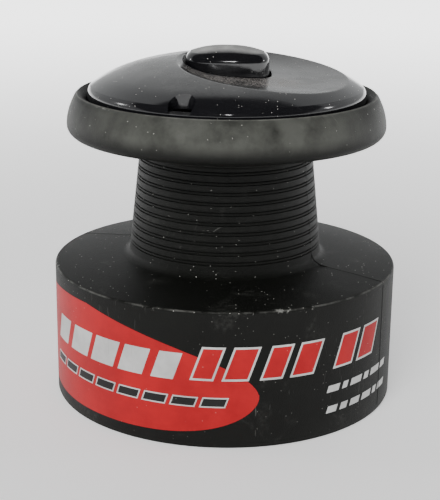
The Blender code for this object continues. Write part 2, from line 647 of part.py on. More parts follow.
def bush(name, low, high, material, parent):
    """A plain bush that lines the hub for the reel's shaft."""
    outer = SHAFT_BORE_RADIUS + BUSH_WALL
    mesh = turned([(outer, low), (outer, high), (SHAFT_BORE_RADIUS, high), (SHAFT_BORE_RADIUS, low)], 48)
    return place(name, mesh, material, (0.0, 0.0, low), parent)


def main():
    for obj in list(bpy.data.objects):
        bpy.data.objects.remove(obj)

    graphite = finish("charcoal_plastic", (0.022, 0.022, 0.021), 0.55)
    gloss = finish("gloss_black_plastic", (0.006, 0.006, 0.007), 0.12)
    acetal = finish("natural_acetal", (0.62, 0.6, 0.54), 0.45)
    steel = finish("spring_steel", (0.55, 0.55, 0.56), 0.3, 1.0)
    plated = finish("plated_screw", (0.45, 0.44, 0.42), 0.35, 1.0)
    brass = finish("brass", (0.6, 0.42, 0.16), 0.32, 1.0)

    body = spool_body(graphite)
    front_cap(gloss, body)
    button = release_button(gloss, body)
    latch_plate(steel, body)
    latch_cover(acetal, body)
    bush("front_bush", WEB_TOP_Z - FRONT_BUSH_LENGTH, WEB_TOP_Z, brass, body)
    bush("rear_bush", HUB_Z, HUB_Z + REAR_BUSH_LENGTH, brass, body)
    click_gear(acetal, body)

    spring_low = COVER_TOP_Z + FIT / 2
    spring_high = BUTTON_TOP_Z - BUTTON_ROOF - FIT / 2
    upright = Matrix.Identity(4)
    coil(BUTTON_SPRING, spring_low, spring_high, steel, "button_spring", upright, (0, 0, spring_low), body)
    latch_middle = (LATCH_Z + LATCH_TOP_Z) / 2
    lying = Matrix.Translation(Vector((0.0, 0.0, latch_middle)) * MM) @ Matrix.Rotation(math.pi / 2, 4, "Y")
    spring_start = LATCH_NOSE + FIT / 2
    spring_end = SPRING_STOP_X - FIT / 2
    coil(
        LATCH_SPRING, spring_start, spring_end, steel, "latch_spring", lying,
        (spring_start, 0.0, latch_middle), body,
    )

    for number, xy in enumerate(four_places(POST_PLACE), 1):
        screw(f"cover_screw_{number}", COVER_SCREW, xy, COVER_TOP_Z + FIT / 2, False, plated, body)
    for number, xy in enumerate(four_places(CAP_SCREW_PLACE), 1):
        screw(f"cap_screw_{number}", CAP_SCREW, xy, WEB_UNDER_Z - FIT, True, plated, body)
    for number, angle in enumerate(GEAR_SCREW_ANGLES, 1):
        turn = math.radians(angle)
        xy = (GEAR_SCREW_RING * math.cos(turn), GEAR_SCREW_RING * math.sin(turn))
        screw(f"gear_screw_{number}", GEAR_SCREW, xy, GEAR_Z - FIT / 2, True, plated, body)
    return button


main()
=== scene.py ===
"""Finished looks of a push-button fishing line spool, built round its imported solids.

Each sub-assembly is a class that holds its sizes in millimetres, builds its meshes and dresses them.
+Z runs up the spindle, the skirt's lower rim is at z = 0, and the push button's long side lies along X.
"""

from __future__ import annotations

import logging
import math
from collections.abc import Callable, Iterable, Sequence
from dataclasses import dataclass, field
from enum import Enum

import bmesh
import bpy
from mathutils import Matrix, Vector


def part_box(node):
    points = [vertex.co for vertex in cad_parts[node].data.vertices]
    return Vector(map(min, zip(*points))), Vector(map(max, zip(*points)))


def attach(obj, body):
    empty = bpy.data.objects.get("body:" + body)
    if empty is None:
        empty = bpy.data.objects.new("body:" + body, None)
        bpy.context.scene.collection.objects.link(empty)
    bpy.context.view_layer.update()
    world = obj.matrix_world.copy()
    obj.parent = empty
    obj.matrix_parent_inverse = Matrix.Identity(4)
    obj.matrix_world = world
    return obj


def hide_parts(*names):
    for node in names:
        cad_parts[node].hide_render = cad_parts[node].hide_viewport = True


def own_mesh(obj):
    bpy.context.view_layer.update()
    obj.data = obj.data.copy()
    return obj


MM = 0.001
Point2 = tuple[float, float]
Point3 = tuple[float, float, float]
Colour = tuple[float, float, float]
Value = bpy.types.NodeSocket | float | tuple[float, ...]
Skin = tuple[list[Point3], list[list[int]]]
log = logging.getLogger("spool")
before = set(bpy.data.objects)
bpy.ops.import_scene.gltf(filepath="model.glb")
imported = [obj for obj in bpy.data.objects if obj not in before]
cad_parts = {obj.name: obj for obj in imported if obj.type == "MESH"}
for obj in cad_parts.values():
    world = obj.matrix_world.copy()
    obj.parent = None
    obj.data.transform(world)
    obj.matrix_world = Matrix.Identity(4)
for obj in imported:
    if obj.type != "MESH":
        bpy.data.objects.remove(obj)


class Body(Enum):
    """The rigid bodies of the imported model."""

    SPOOL = "spool"
    BUTTON = "button"


class Slot(Enum):
    """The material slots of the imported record."""

    MOULDING = "body_plastic"
    GLOSS = "gloss_black"
    STEEL = "spring_steel"
    SCREW = "plated_screw"


class Effect(Enum):
    """The shader groups that finishes share."""

    GRAIN = "grain"
    SCRATCHES = "scratches"
    SMUDGES = "smudges"
    DUST = "dust"
    EDGE_WEAR = "edge_wear"


# ---- mesh tools --------------------------------------------------------------------------------


def arc(centre: Point2, radius: float, start: float, end: float, steps: int) -> list[Point2]:
    """Gives points along an arc.

    Args:
        centre: Centre as (radius, height).
        radius: Radius of the arc.
        start: First angle in degrees, 0 pointing outwards and 90 up.
        end: Last angle in degrees.
        steps: Number of steps between the two.

    Returns:
        The points, first and last included.
    """
    angles = [math.radians(start + (end - start) * i / steps) for i in range(steps + 1)]
    return [(centre[0] + radius * math.cos(a), centre[1] + radius * math.sin(a)) for a in angles]


def superellipse(length: float, width: float, power: float, count: int) -> list[Point2]:
    """Gives a rounded outline between an ellipse and a rectangle.

    Args:
        length: Full size along X.
        width: Full size along Y.
        power: 2 for an ellipse, more for squarer corners.
        count: Number of points.

    Returns:
        The points, anticlockwise from +X.
    """
    points = []
    for i in range(count):
        angle = 2 * math.pi * i / count
        c, s = math.cos(angle), math.sin(angle)
        reach = (abs(2 * c / length) ** power + abs(2 * s / width) ** power) ** (-1 / power)
        points.append((reach * c, reach * s))
    return points


def new_piece(
    name: str, points: Iterable[Sequence[float]], faces: Iterable[Sequence[int]]
) -> bpy.types.Object:
    """Makes an object from points in millimetres.

    Args:
        name: Name of the object.
        points: Corners in millimetres.
        faces: Corner numbers of each face.

    Returns:
        The object, in the scene, with its faces turned outwards and smooth.
    """
    mesh = bpy.data.meshes.new(name)
    mesh.from_pydata([Vector(point) * MM for point in points], [], list(faces))
    work = bmesh.new()
    work.from_mesh(mesh)
    bmesh.ops.recalc_face_normals(work, faces=work.faces)
    work.to_mesh(mesh)
    work.free()
    mesh.shade_smooth()
    piece = bpy.data.objects.new(name, mesh)
    bpy.context.scene.collection.objects.link(piece)
    return piece


def bands(levels: int, count: int, closed: bool = False) -> list[list[int]]:
    """Lists the faces between rings of equal length.

    Args:
        levels: Number of rings.
        count: Points in each ring.
        closed: Whether the last ring joins the first. If not, the two end faces come first.

    Returns:
        The corner numbers of each face.
    """
    faces = [] if closed else [list(range(count)), [(levels - 1) * count + i for i in range(count)]]
    for level in range(levels if closed else levels - 1):
        low, high = level * count, (level + 1) % levels * count
        for i in range(count):
            j = (i + 1) % count
            faces.append([low + i, low + j, high + j, high + i])
    return faces


def turn(name: str, profile: Sequence[Point2], count: int, middle: Point2 = (0.0, 0.0)) -> bpy.types.Object:
    """Turns a closed outline about an upright axis.

    Args:
        name: Name of the object.
        profile: Points of (radius, height). Both ends on the axis make a solid piece.
        count: Number of facets round the axis.
        middle: Where the axis stands.

    Returns:
        The turned piece.
    """
    points: list[Point3] = []
    rings: list[list[int]] = []
    for radius, z in profile:
        if radius == 0:
            rings.append([len(points)] * count)
            points.append((middle[0], middle[1], z))
            continue
        rings.append(list(range(len(points), len(points) + count)))
        for i in range(count):
            angle = 2 * math.pi * i / count
            points.append((middle[0] + radius * math.cos(angle), middle[1] + radius * math.sin(angle), z))
    faces = []
    for i, low in enumerate(rings):
        high = rings[(i + 1) % len(rings)]
        for j in range(count):
            k = (j + 1) % count
            corners = list(dict.fromkeys((low[j], low[k], high[k], high[j])))
            if len(corners) > 2:
                faces.append(corners)
    return new_piece(name, points, faces)


def stack(name: str, outlines: Sequence[Sequence[Point3]]) -> bpy.types.Object:
    """Skins outlines of equal length one on another and closes both ends.

    Args:
        name: Name of the object.
        outlines: Outlines from the lowest to the highest.

    Returns:
        The closed piece.
    """
    points = [point for outline in outlines for point in outline]
    return new_piece(name, points, bands(len(outlines), len(outlines[0])))


def slab(name: str, outline: Sequence[Point2], low: float, high: float) -> bpy.types.Object:
    """Draws a flat outline up from one level to another.

    Args:
        name: Name of the object.
        outline: Points of (x, y).
        low: Lower level.
        high: Upper level.

    Returns:
        The closed piece.
    """
    return stack(name, [[(x, y, z) for x, y in outline] for z in (low, high)])


def block(name: str, low: Point3, high: Point3) -> bpy.types.Object:
    """Makes a plain cutter or rib between two corners."""
    outline = [(low[0], low[1]), (high[0], low[1]), (high[0], high[1]), (low[0], high[1])]
    return slab(name, outline, low[2], high[2])


def disc(radius: float, count: int, middle: Point2 = (0.0, 0.0)) -> list[Point2]:
    """Gives a circle's points."""
    angles = [2 * math.pi * i / count for i in range(count)]
    return [(middle[0] + radius * math.cos(a), middle[1] + radius * math.sin(a)) for a in angles]


def combine(piece: bpy.types.Object, tools: Sequence[bpy.types.Object], operation: str) -> None:
    """Applies a Boolean with each tool to the piece, and removes the tools.

    Args:
        piece: The piece that changes.
        tools: The shapes added or taken away.
        operation: UNION or DIFFERENCE.
    """
    for tool in tools:
        boolean = piece.modifiers.new("boolean", "BOOLEAN")
        boolean.operation = operation
        boolean.object = tool
        bpy.context.view_layer.update()
        graph = bpy.context.evaluated_depsgraph_get()
        mesh = bpy.data.meshes.new_from_object(piece.evaluated_get(graph))
        piece.modifiers.clear()
        piece.data = mesh
        bpy.data.objects.remove(tool)


def sharpen(piece: bpy.types.Object, degrees: float = 35.0) -> None:
    """Keeps edges sharper than an angle crisp in the shading."""
    piece.data.shade_smooth()
    piece.data.set_sharp_from_angle(angle=math.radians(degrees))


def round_edges(piece: bpy.types.Object, width: float) -> None:
    """Rounds the sharp edges of a piece and keeps its flat faces flat.

    Args:
        piece: The piece.
        width: Width of the rounding in millimetres.
    """
    bevel = piece.modifiers.new("rounding", "BEVEL")
    bevel.width = width * MM
    bevel.segments = 2
    bevel.limit_method = "ANGLE"
    bevel.angle_limit = math.radians(35)
    bevel.harden_normals = True
    sharpen(piece, 40.0)


def node_middle(node: str) -> Point2:
    """Gives the middle of a solid's box in plan, in millimetres."""
    low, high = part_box(node)
    return (low[0] + high[0]) / 2 / MM, (low[1] + high[1]) / 2 / MM


# ---- shader groups -----------------------------------------------------------------------------


class Nodes:
    """Adds and links shader nodes in one tree."""

    def __init__(self, tree: bpy.types.NodeTree) -> None:
        """Keeps the tree that the nodes go in."""
        self.tree = tree

    def put(self, socket: bpy.types.NodeSocket, value: Value) -> None:
        """Links another node's socket to an input, or sets the input's own value.

        Args:
            socket: The input.
            value: A socket, a number, a vector or a colour.
        """
        if isinstance(value, bpy.types.NodeSocket):
            self.tree.links.new(value, socket)
        else:
            socket.default_value = (*value, 1.0) if socket.type == "RGBA" else value

    def add(
        self, kind: str, inputs: dict[str | int, Value] | None = None, **settings: object
    ) -> bpy.types.Node:
        """Adds a node.

        Args:
            kind: Blender's node type.
            inputs: Values or sockets by the input's name or number.
            **settings: The node's own properties.

        Returns:
            The node.
        """
        node = self.tree.nodes.new(kind)
        for key, value in settings.items():
            setattr(node, key, value)
        for key, value in (inputs or {}).items():
            self.put(node.inputs[key], value)
        return node

    def effect(self, effect: Effect, inputs: dict[str | int, Value] | None = None) -> bpy.types.NodeOutputs:
        """Places a shader group with its own values and gives its outputs."""
        return self.add("ShaderNodeGroup", inputs, node_tree=EFFECTS.get(effect)).outputs

    def place(self) -> bpy.types.NodeSocket:
        """Gives the place on the object."""
        return self.add("ShaderNodeTexCoord").outputs["Object"]

    def round_about(self, place: bpy.types.NodeSocket) -> tuple[bpy.types.NodeOutputs, bpy.types.NodeSocket]:
        """Gives a place's three axes, and how far it is from the spindle."""
        axes = self.add("ShaderNodeSeparateXYZ", {0: place}).outputs
        return axes, self.root_of_squares(axes[0], axes[1])

    def math(self, operation: str, *values: Value) -> bpy.types.NodeSocket:
        """Adds a Math node and gives its result."""
        return self.add("ShaderNodeMath", dict(enumerate(values)), operation=operation).outputs[0]

    def plus(self, first: Value, second: Value) -> bpy.types.NodeSocket:
        """Adds two values."""
        return self.math("ADD", first, second)

    def times(self, first: Value, *others: Value) -> bpy.types.NodeSocket:
        """Multiplies values."""
        for value in others:
            first = self.math("MULTIPLY", first, value)
        return first

    def root_of_squares(self, first: Value, second: Value) -> bpy.types.NodeSocket:
        """Gives the length of a step with two parts."""
        return self.math("SQRT", self.plus(*(self.math("POWER", value, 2.0) for value in (first, second))))

    def ramp(self, value: bpy.types.NodeSocket, low: float, high: float) -> bpy.types.NodeSocket:
        """Stretches a value so that low becomes 0 and high becomes 1, smoothly and clamped."""
        span = {"Value": value, "From Min": low, "From Max": high}
        return self.add("ShaderNodeMapRange", span, interpolation_type="SMOOTHSTEP").outputs["Result"]

    def noise(
        self, place: bpy.types.NodeSocket, scale: Value, detail: float, rough: float = 0.5
    ) -> bpy.types.NodeSocket:
        """Adds a noise of about this many waves per metre and gives its value."""
        inputs = {"Vector": place, "Scale": scale, "Detail": detail, "Roughness": rough}
        return self.add("ShaderNodeTexNoise", inputs).outputs["Fac"]

    def mix(self, share: Value, first: Value, second: Value, blend: str = "MIX") -> bpy.types.NodeSocket:
        """Mixes two colours.

        Args:
            share: How much of the second colour shows.
            first: A colour or a socket.
            second: A colour or a socket.
            blend: Blender's blend type.

        Returns:
            The mixed colour.
        """
        node = self.add("ShaderNodeMix", data_type="RGBA", blend_type=blend)
        for index, value in ((0, share), (6, first), (7, second)):
            self.put(node.inputs[index], value)
        return node.outputs[2]


class Surface(Nodes):
    """A material in the making, with its Principled shader."""

    def __init__(self, name: str) -> None:
        """Starts the material."""
        self.material = bpy.data.materials.new(name)
        self.material.use_nodes = True
        super().__init__(self.material.node_tree)
        self.shader = self.tree.nodes["Principled BSDF"]

    def finish(
        self, colour: Value, rough: Value, height: Value, depth: Point2, **plain: float
    ) -> bpy.types.Material:
        """Links the colour, roughness and relief to the shader.

        Args:
            colour: The colour.
            rough: The roughness.
            height: Height of the relief.
            depth: Strength and distance of the relief.
            **plain: Values for the shader's other sockets, with _ for a space.

        Returns:
            The material.
        """
        bump = self.add("ShaderNodeBump", {"Height": height, "Strength": depth[0], "Distance": depth[1]})
        linked = {"Base Color": colour, "Roughness": rough, "Normal": bump.outputs["Normal"]}
        for label, value in {**linked, **plain}.items():
            self.put(self.shader.inputs[label.replace("_", " ")], value)
        return self.material


class Group(Nodes):
    """A shader group in the making, whose inputs and outputs are plain numbers."""

    def __init__(self, effect: Effect, inputs: dict[str, float], outputs: Sequence[str] = ("Mask",)) -> None:
        """Starts the group.

        Args:
            effect: What the group is for.
            inputs: Each input's name and default.
            outputs: Names of the outputs.
        """
        super().__init__(bpy.data.node_groups.new(effect.value, "ShaderNodeTree"))
        new_socket = self.tree.interface.new_socket
        for label, default in inputs.items():
            new_socket(label, in_out="INPUT", socket_type="NodeSocketFloat").default_value = default
        for label in outputs:
            new_socket(label, in_out="OUTPUT", socket_type="NodeSocketFloat")
        self.given = self.add("NodeGroupInput").outputs
        self.out = self.add("NodeGroupOutput").inputs

    def close(self, **results: Value) -> bpy.types.NodeTree:
        """Links the results to the outputs of their names and gives the group."""
        for label, value in results.items():
            self.put(self.out[label], value)
        return self.tree


def grain_group() -> bpy.types.NodeTree:
    """Builds a fine moulded or cast grain with slow blotches.

    Returns:
        The shader group.
    """
    n = Group(Effect.GRAIN, {"Size": 5000.0, "Blotch Size": 160.0}, ("Height", "Blotch", "Fine"))
    place = n.place()
    fine = n.noise(place, n.given["Size"], 3.0, 0.6)
    blotch = n.noise(place, n.given["Blotch Size"], 4.0, 0.62)
    return n.close(Fine=fine, Height=n.ramp(fine, 0.3, 0.7), Blotch=n.ramp(blotch, 0.34, 0.66))


def scratches_group() -> bpy.types.NodeTree:
    """Builds fine hair scratches in patches, running in three directions.

    Returns:
        The shader group.
    """
    n = Group(Effect.SCRATCHES, {"Size": 260.0, "Amount": 0.5})
    place = n.place()
    total: Value = 0.0
    for turned, stretch in ((0.5, 34.0), (1.7, 48.0), (2.7, 30.0)):
        laid = {"Vector": place, "Rotation": (turned, 0.4 * turned, turned), "Scale": (1.0, stretch, 1.0)}
        lines = n.noise(n.add("ShaderNodeMapping", laid).outputs[0], n.given["Size"], 2.0, 0.4)
        total = n.math("MAXIMUM", total, n.ramp(lines, 0.72, 0.76))
    patch = n.ramp(n.noise(place, 70.0, 2.0), 0.5, 0.66)
    return n.close(Mask=n.times(total, patch, n.given["Amount"]))


def smudges_group() -> bpy.types.NodeTree:
    """Builds pale rubbed smudges and streaks, few and soft.

    Returns:
        The shader group.
    """
    n = Group(Effect.SMUDGES, {"Size": 130.0, "Amount": 0.5})
    place = n.place()
    inputs = {"Vector": place, "Scale": n.given["Size"], "Detail": 5.0, "Distortion": 1.1}
    soft = n.ramp(n.add("ShaderNodeTexNoise", inputs).outputs["Fac"], 0.56, 0.74)
    broken = n.ramp(n.noise(place, 1500.0, 4.0, 0.7), 0.35, 0.65)
    return n.close(Mask=n.times(soft, broken, n.given["Amount"]))


def dust_group() -> bpy.types.NodeTree:
    """Builds specks of dust, more on faces that look up.

    Returns:
        The shader group.
    """
    n = Group(Effect.DUST, {"Size": 1500.0, "Amount": 0.5, "Speck": 0.16})
    cells = n.add("ShaderNodeTexVoronoi", {"Vector": n.place(), "Scale": n.given["Size"]}).outputs
    lot = n.add("ShaderNodeSeparateColor", {0: cells["Color"]}).outputs[0]
    chosen = n.math("GREATER_THAN", lot, n.math("SUBTRACT", 1.0, n.given["Amount"]))
    speck = n.math("LESS_THAN", cells["Distance"], n.given["Speck"])
    normal = n.add("ShaderNodeNewGeometry").outputs["Normal"]
    up = n.add("ShaderNodeSeparateXYZ", {0: normal}).outputs[2]
    return n.close(Mask=n.times(chosen, speck, n.ramp(up, -0.4, 0.7)))


def edge_wear_group() -> bpy.types.NodeTree:
    """Builds rubbed edges, found where the surface bends outwards.

    Returns:
        The shader group.
    """
    n = Group(Effect.EDGE_WEAR, {"Start": 0.54, "Amount": 0.6})
    start = n.given["Start"]
    bend = n.add("ShaderNodeNewGeometry").outputs["Pointiness"]
    span = {"Value": bend, "From Min": start, "From Max": n.plus(start, 0.05)}
    edge = n.add("ShaderNodeMapRange", span).outputs["Result"]
    broken = n.ramp(n.noise(n.place(), 700.0, 4.0, 0.65), 0.38, 0.6)
    return n.close(Mask=n.times(edge, broken, n.given["Amount"]))


@dataclass
class Effects:
    """Keeps each shader group once it is built."""

    builders: dict[Effect, Callable[[], bpy.types.NodeTree]]
    made: dict[Effect, bpy.types.NodeTree] = field(default_factory=dict)

    def get(self, effect: Effect) -> bpy.types.NodeTree:
        """Gives a group, and builds it the first time."""
        if effect not in self.made:
            self.made[effect] = self.builders[effect]()
        return self.made[effect]


EFFECTS = Effects(
    {
        Effect.GRAIN: grain_group,
        Effect.SCRATCHES: scratches_group,
        Effect.SMUDGES: smudges_group,
        Effect.DUST: dust_group,
        Effect.EDGE_WEAR: edge_wear_group,
    }
)


# ---- finishes ----------------------------------------------------------------------------------


@dataclass(frozen=True)
class Lip:
    """The outer face of a flange, turned grey on its upper part by handling, with a painted highlight that
    makes its front paler.
    """

    radius: float
    level: float

    def handled_and_lit(self, n: Nodes) -> bpy.types.NodeSocket:
        """Finds how much of the face turns grey, partly handling wear and partly a painted highlight
        strongest at the front.

        Args:
            n: Tool of the material's tree.

        Returns:
            The share of grey, wear and painted highlight together.
        """
        place = n.place()
        axes, across = n.round_about(place)
        outside = n.ramp(across, (self.radius - 1.0) * MM, self.radius * MM)
        above = n.ramp(axes[2], (self.level - 0.9) * MM, (self.level + 1.7) * MM)
        # Painted highlight: the face is paler where it faces the front, -Y.
        front = n.ramp(n.math("DIVIDE", axes[1], across), -0.45, -0.95)
        uneven = n.ramp(n.noise(place, 190.0, 4.0, 0.6), 0.1, 0.7)
        return n.times(outside, above, n.plus(n.times(front, 0.65), 0.35), uneven)


@dataclass(frozen=True)
class Crease:
    """A round corner with a pale line all along it, partly rubbing and partly a painted highlight, and
    chipped in places by wear.
    """

    radius: float
    level: float
    width: float = 0.22
    chip_width: float = 0.5

    def rubbed(self, n: Nodes) -> bpy.types.NodeSocket:
        """Finds the pale strip, partly rubbing and partly painted highlight, and its chips.

        Args:
            n: Tool of the material's tree.

        Returns:
            The share of pale colour, wear and painted highlight together.
        """
        place = n.place()
        axes, across = n.round_about(place)
        sideways = n.math("SUBTRACT", across, self.radius * MM)
        off = n.root_of_squares(sideways, n.math("SUBTRACT", axes[2], self.level * MM))
        uneven = n.noise(place, 260.0, 4.0, 0.65)
        # Painted highlight and rubbing: a pale line runs all along the corner.
        line = n.ramp(off, self.width * MM, 0.3 * self.width * MM)
        line = n.times(line, n.ramp(uneven, 0.36, 0.64))
        chips = n.ramp(n.noise(place, 900.0, 3.0, 0.6), 0.56, 0.62)
        patches = n.ramp(n.noise(place, 55.0, 1.0), 0.52, 0.58)
        near = n.ramp(off, self.chip_width * MM, 0.6 * self.chip_width * MM)
        return n.math("MAXIMUM", n.times(line, 0.34), n.times(chips, patches, near, 0.85))


@dataclass(frozen=True)
class Moulding:
    """Charcoal moulded plastic, rubbed and dusty, with painted highlights on its lip and creases."""

    colour: Colour = (0.0043, 0.0045, 0.0038)
    pale: Colour = (0.0054, 0.0057, 0.0048)
    grey_and_lit: Colour = (0.066, 0.068, 0.06)
    worn: Colour = (0.20, 0.20, 0.185)
    dust_colour: Colour = (0.55, 0.54, 0.5)
    roughness: float = 0.47
    specular: float = 0.15
    dust: float = 0.07
    wear: float = 0.05

    def material(
        self, name: str, creases: Sequence[Crease] = (), lip: Lip | None = None
    ) -> bpy.types.Material:
        """Builds the finish.

        Args:
            name: Name of the material.
            creases: Corners with a pale line, partly rubbing and partly a painted highlight.
            lip: A lip turned grey by handling and painted paler at its front as a painted highlight, if the
                piece has one.

        Returns:
            The material.
        """
        n = Surface(name)
        grain = n.effect(Effect.GRAIN)
        scratch = n.effect(Effect.SCRATCHES, {"Size": 300.0, "Amount": 0.6})
        dust = n.effect(Effect.DUST, {"Size": 2300.0, "Amount": self.dust, "Speck": 0.17})
        smudge = n.effect(Effect.SMUDGES, {"Size": 130.0, "Amount": 0.5})
        wear = n.effect(Effect.EDGE_WEAR)
        colour = n.mix(grain["Blotch"], self.colour, self.pale)
        if lip:
            # The lip's grey is partly handling wear and partly a painted highlight.
            colour = n.mix(lip.handled_and_lit(n), colour, self.grey_and_lit)
        for mask, share in ((smudge, 0.2), (scratch, 0.5), (wear, self.wear)):
            colour = n.mix(n.times(mask["Mask"], share), colour, self.worn)
        for crease in creases:
            # The creases' pale line is partly rubbing and partly a painted highlight.
            colour = n.mix(crease.rubbed(n), colour, self.worn)
        colour = n.mix(n.times(dust["Mask"], 0.75), colour, self.dust_colour)
        rough = n.plus(self.roughness, n.times(grain["Fine"], 0.12))
        return n.finish(colour, rough, grain["Height"], (0.22, 0.00006), Specular_IOR_Level=self.specular)


@dataclass(frozen=True)
class Dirt:
    """Grey grit that has gathered in the dish round the button."""

    middle: Point2 = (2.5, -6.2)
    reach: Point2 = (11.5, 6.2)
    colour: Colour = (0.30, 0.27, 0.25)

    def caked(self, n: Nodes, colour: Value, rough: Value) -> tuple[Value, Value]:
        """Lays the grit over a finish.

        Args:
            n: Tool of the material's tree.
            colour: The finish's colour.
            rough: The finish's roughness.

        Returns:
            The colour and the roughness with the grit.
        """
        place = n.place()
        axes = n.add("ShaderNodeSeparateXYZ", {0: place}).outputs
        squares = [
            n.math("POWER", n.math("DIVIDE", n.math("SUBTRACT", axes[i], m * MM), r * MM), 2.0)
            for i, (m, r) in enumerate(zip(self.middle, self.reach))
        ]
        near = n.ramp(n.plus(*squares), 1.0, 0.1)
        grit = n.ramp(n.noise(place, 3600.0, 3.0, 0.75), 0.47, 0.58)
        clump = n.ramp(n.noise(place, 420.0, 3.0, 0.6), 0.3, 0.52)
        mask = n.times(near, grit, n.times(clump, 0.85))
        return n.mix(mask, colour, self.colour), n.math("MAXIMUM", rough, n.times(mask, 0.8))


@dataclass(frozen=True)
class Gloss:
    """Polished black plastic with fine scratches and a pale coat on faces that look up, partly dust and
    partly painted reflection.
    """

    colour: Colour = (0.006, 0.006, 0.007)
    scratched: Colour = (0.4, 0.4, 0.4)
    dust_colour: Colour = (0.62, 0.6, 0.56)
    dust_and_sheen_colour: Colour = (0.36, 0.36, 0.35)
    dust_and_sheen: float = 0.14
    dust_and_sheen_slope: Point2 = (0.86, 0.965)
    roughness: float = 0.07
    dust: float = 0.09
    haze: float = 0.1

    def dust_and_sheen_share(self, n: Nodes) -> bpy.types.NodeSocket:
        """Finds how pale the surface is made where it faces up: partly fine dust, partly a painted reflection
        that lightens the tops.

        Args:
            n: Tool of the material's tree.

        Returns:
            The share of film.
        """
        place = n.add("ShaderNodeTexCoord").outputs
        # Painted reflection and dust: the pale coat grows on faces that look up.
        upward = n.ramp(n.add("ShaderNodeSeparateXYZ", {0: place["Normal"]}).outputs[2], *self.dust_and_sheen_slope)
        uneven = n.ramp(n.noise(place["Object"], 260.0, 5.0, 0.65), 0.2, 0.8)
        return n.times(upward, self.dust_and_sheen, n.plus(uneven, 0.35))

    def material(self, name: str, dirt: Dirt | None = None) -> bpy.types.Material:
        """Builds the finish.

        Args:
            name: Name of the material.
            dirt: Caked dirt round the button, if the piece carries it.

        Returns:
            The material.
        """
        n = Surface(name)
        grain = n.effect(Effect.GRAIN, {"Size": 1900.0, "Blotch Size": 120.0})
        scratch = n.effect(Effect.SCRATCHES, {"Size": 420.0, "Amount": 0.6})
        dust = n.effect(Effect.DUST, {"Size": 2300.0, "Amount": self.dust, "Speck": 0.17})
        dust_and_sheen, specks = self.dust_and_sheen_share(n), n.times(dust["Mask"], 0.7)
        colour = n.mix(n.times(scratch["Mask"], 0.12), self.colour, self.scratched)
        colour = n.mix(specks, n.mix(dust_and_sheen, colour, self.dust_and_sheen_colour), self.dust_colour)
        rough = n.plus(self.roughness, n.times(grain["Blotch"], self.haze))
        rough = n.plus(rough, n.times(scratch["Mask"], 0.25))
        rough = n.math("MAXIMUM", n.plus(rough, dust_and_sheen), specks)
        if dirt:
            colour, rough = dirt.caked(n, colour, rough)
        return n.finish(colour, rough, grain["Blotch"], (0.05, 0.0002), Specular_IOR_Level=0.5)


@dataclass(frozen=True)
class Metal:
    """Bare or plated metal with fine turning or drawing marks."""

    colour: Colour
    roughness: float = 0.3
    marks: float = 0.15

    def material(self, name: str) -> bpy.types.Material:
        """Builds the finish.

        Args:
            name: Name of the material.

        Returns:
            The material.
        """
        n = Surface(name)
        grain = n.effect(Effect.GRAIN, {"Size": 2600.0, "Blotch Size": 300.0})
        scratch = n.effect(Effect.SCRATCHES, {"Size": 500.0, "Amount": 0.8})
        dull = tuple(0.55 * c for c in self.colour)
        colour = n.mix(n.times(grain["Blotch"], 0.5), self.colour, dull)
        rough = n.plus(self.roughness, n.times(grain["Fine"], self.marks))
        rough = n.plus(rough, n.times(scratch["Mask"], 0.15))
        return n.finish(colour, rough, grain["Height"], (0.1, 0.00003), Metallic=1.0)


@dataclass(frozen=True)
class Acetal:
    """Natural acetal, satin and pale."""

    colour: Colour = (0.62, 0.6, 0.53)

    def material(self, name: str) -> bpy.types.Material:
        """Builds the finish.

        Args:
            name: Name of the material.

        Returns:
            The material.
        """
        n = Surface(name)
        grain = n.effect(Effect.GRAIN, {"Size": 2200.0, "Blotch Size": 200.0})
        dark = tuple(0.72 * c for c in self.colour)
        colour = n.mix(grain["Blotch"], self.colour, dark)
        rough = n.plus(0.38, n.times(grain["Fine"], 0.16))
        return n.finish(colour, rough, grain["Height"], (0.12, 0.00004))


@dataclass(frozen=True)
class Ink:
    """Printing ink, thin and worn through in places by dust and scratches."""

    colour: Colour
    roughness: float = 0.42
    metallic: float = 0.0
    under: Colour = (0.04, 0.035, 0.035)
    dust_colour: Colour = (0.6, 0.58, 0.54)

    def material(self, name: str) -> bpy.types.Material:
        """Builds the finish.

        Args:
            name: Name of the material.

        Returns:
            The material.
        """
        n = Surface(name)
        grain = n.effect(Effect.GRAIN)
        scratch = n.effect(Effect.SCRATCHES, {"Size": 420.0, "Amount": 0.8})
        dust = n.effect(Effect.DUST, {"Size": 2000.0, "Amount": 0.05, "Speck": 0.16})
        deep = tuple(0.8 * c for c in self.colour)
        colour = n.mix(grain["Blotch"], self.colour, deep)
        colour = n.mix(n.times(scratch["Mask"], 0.35), colour, self.under)
        colour = n.mix(n.times(dust["Mask"], 0.7), colour, self.dust_colour)
        rough = n.plus(self.roughness, n.times(grain["Fine"], 0.12))
        plain = {"Metallic": self.metallic, "Specular_IOR_Level": 0.22}
        return n.finish(colour, rough, grain["Height"], (0.15, 0.00004), **plain)


# ---- sub-assemblies ----------------------------------------------------------------------------


@dataclass
class Piece:
    """A finished piece and what the model's table says of it."""

    obj: bpy.types.Object
    body: Body
    slot: Slot
    nodes: tuple[str, ...] = ()

    def settle(self, material: bpy.types.Material) -> bpy.types.Object:
        """Dresses the piece, fixes it to its body and logs it.

        Args:
            material: The finish.

        Returns:
            The piece's object.
        """
        self.obj.data.materials.clear()
        self.obj.data.materials.append(material)
        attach(self.obj, self.body.value)
        if self.nodes:
            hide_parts(*self.nodes)
        log.info("%s: %d corners, on %s", self.obj.name, len(self.obj.data.vertices), self.body.value)
        return self.obj


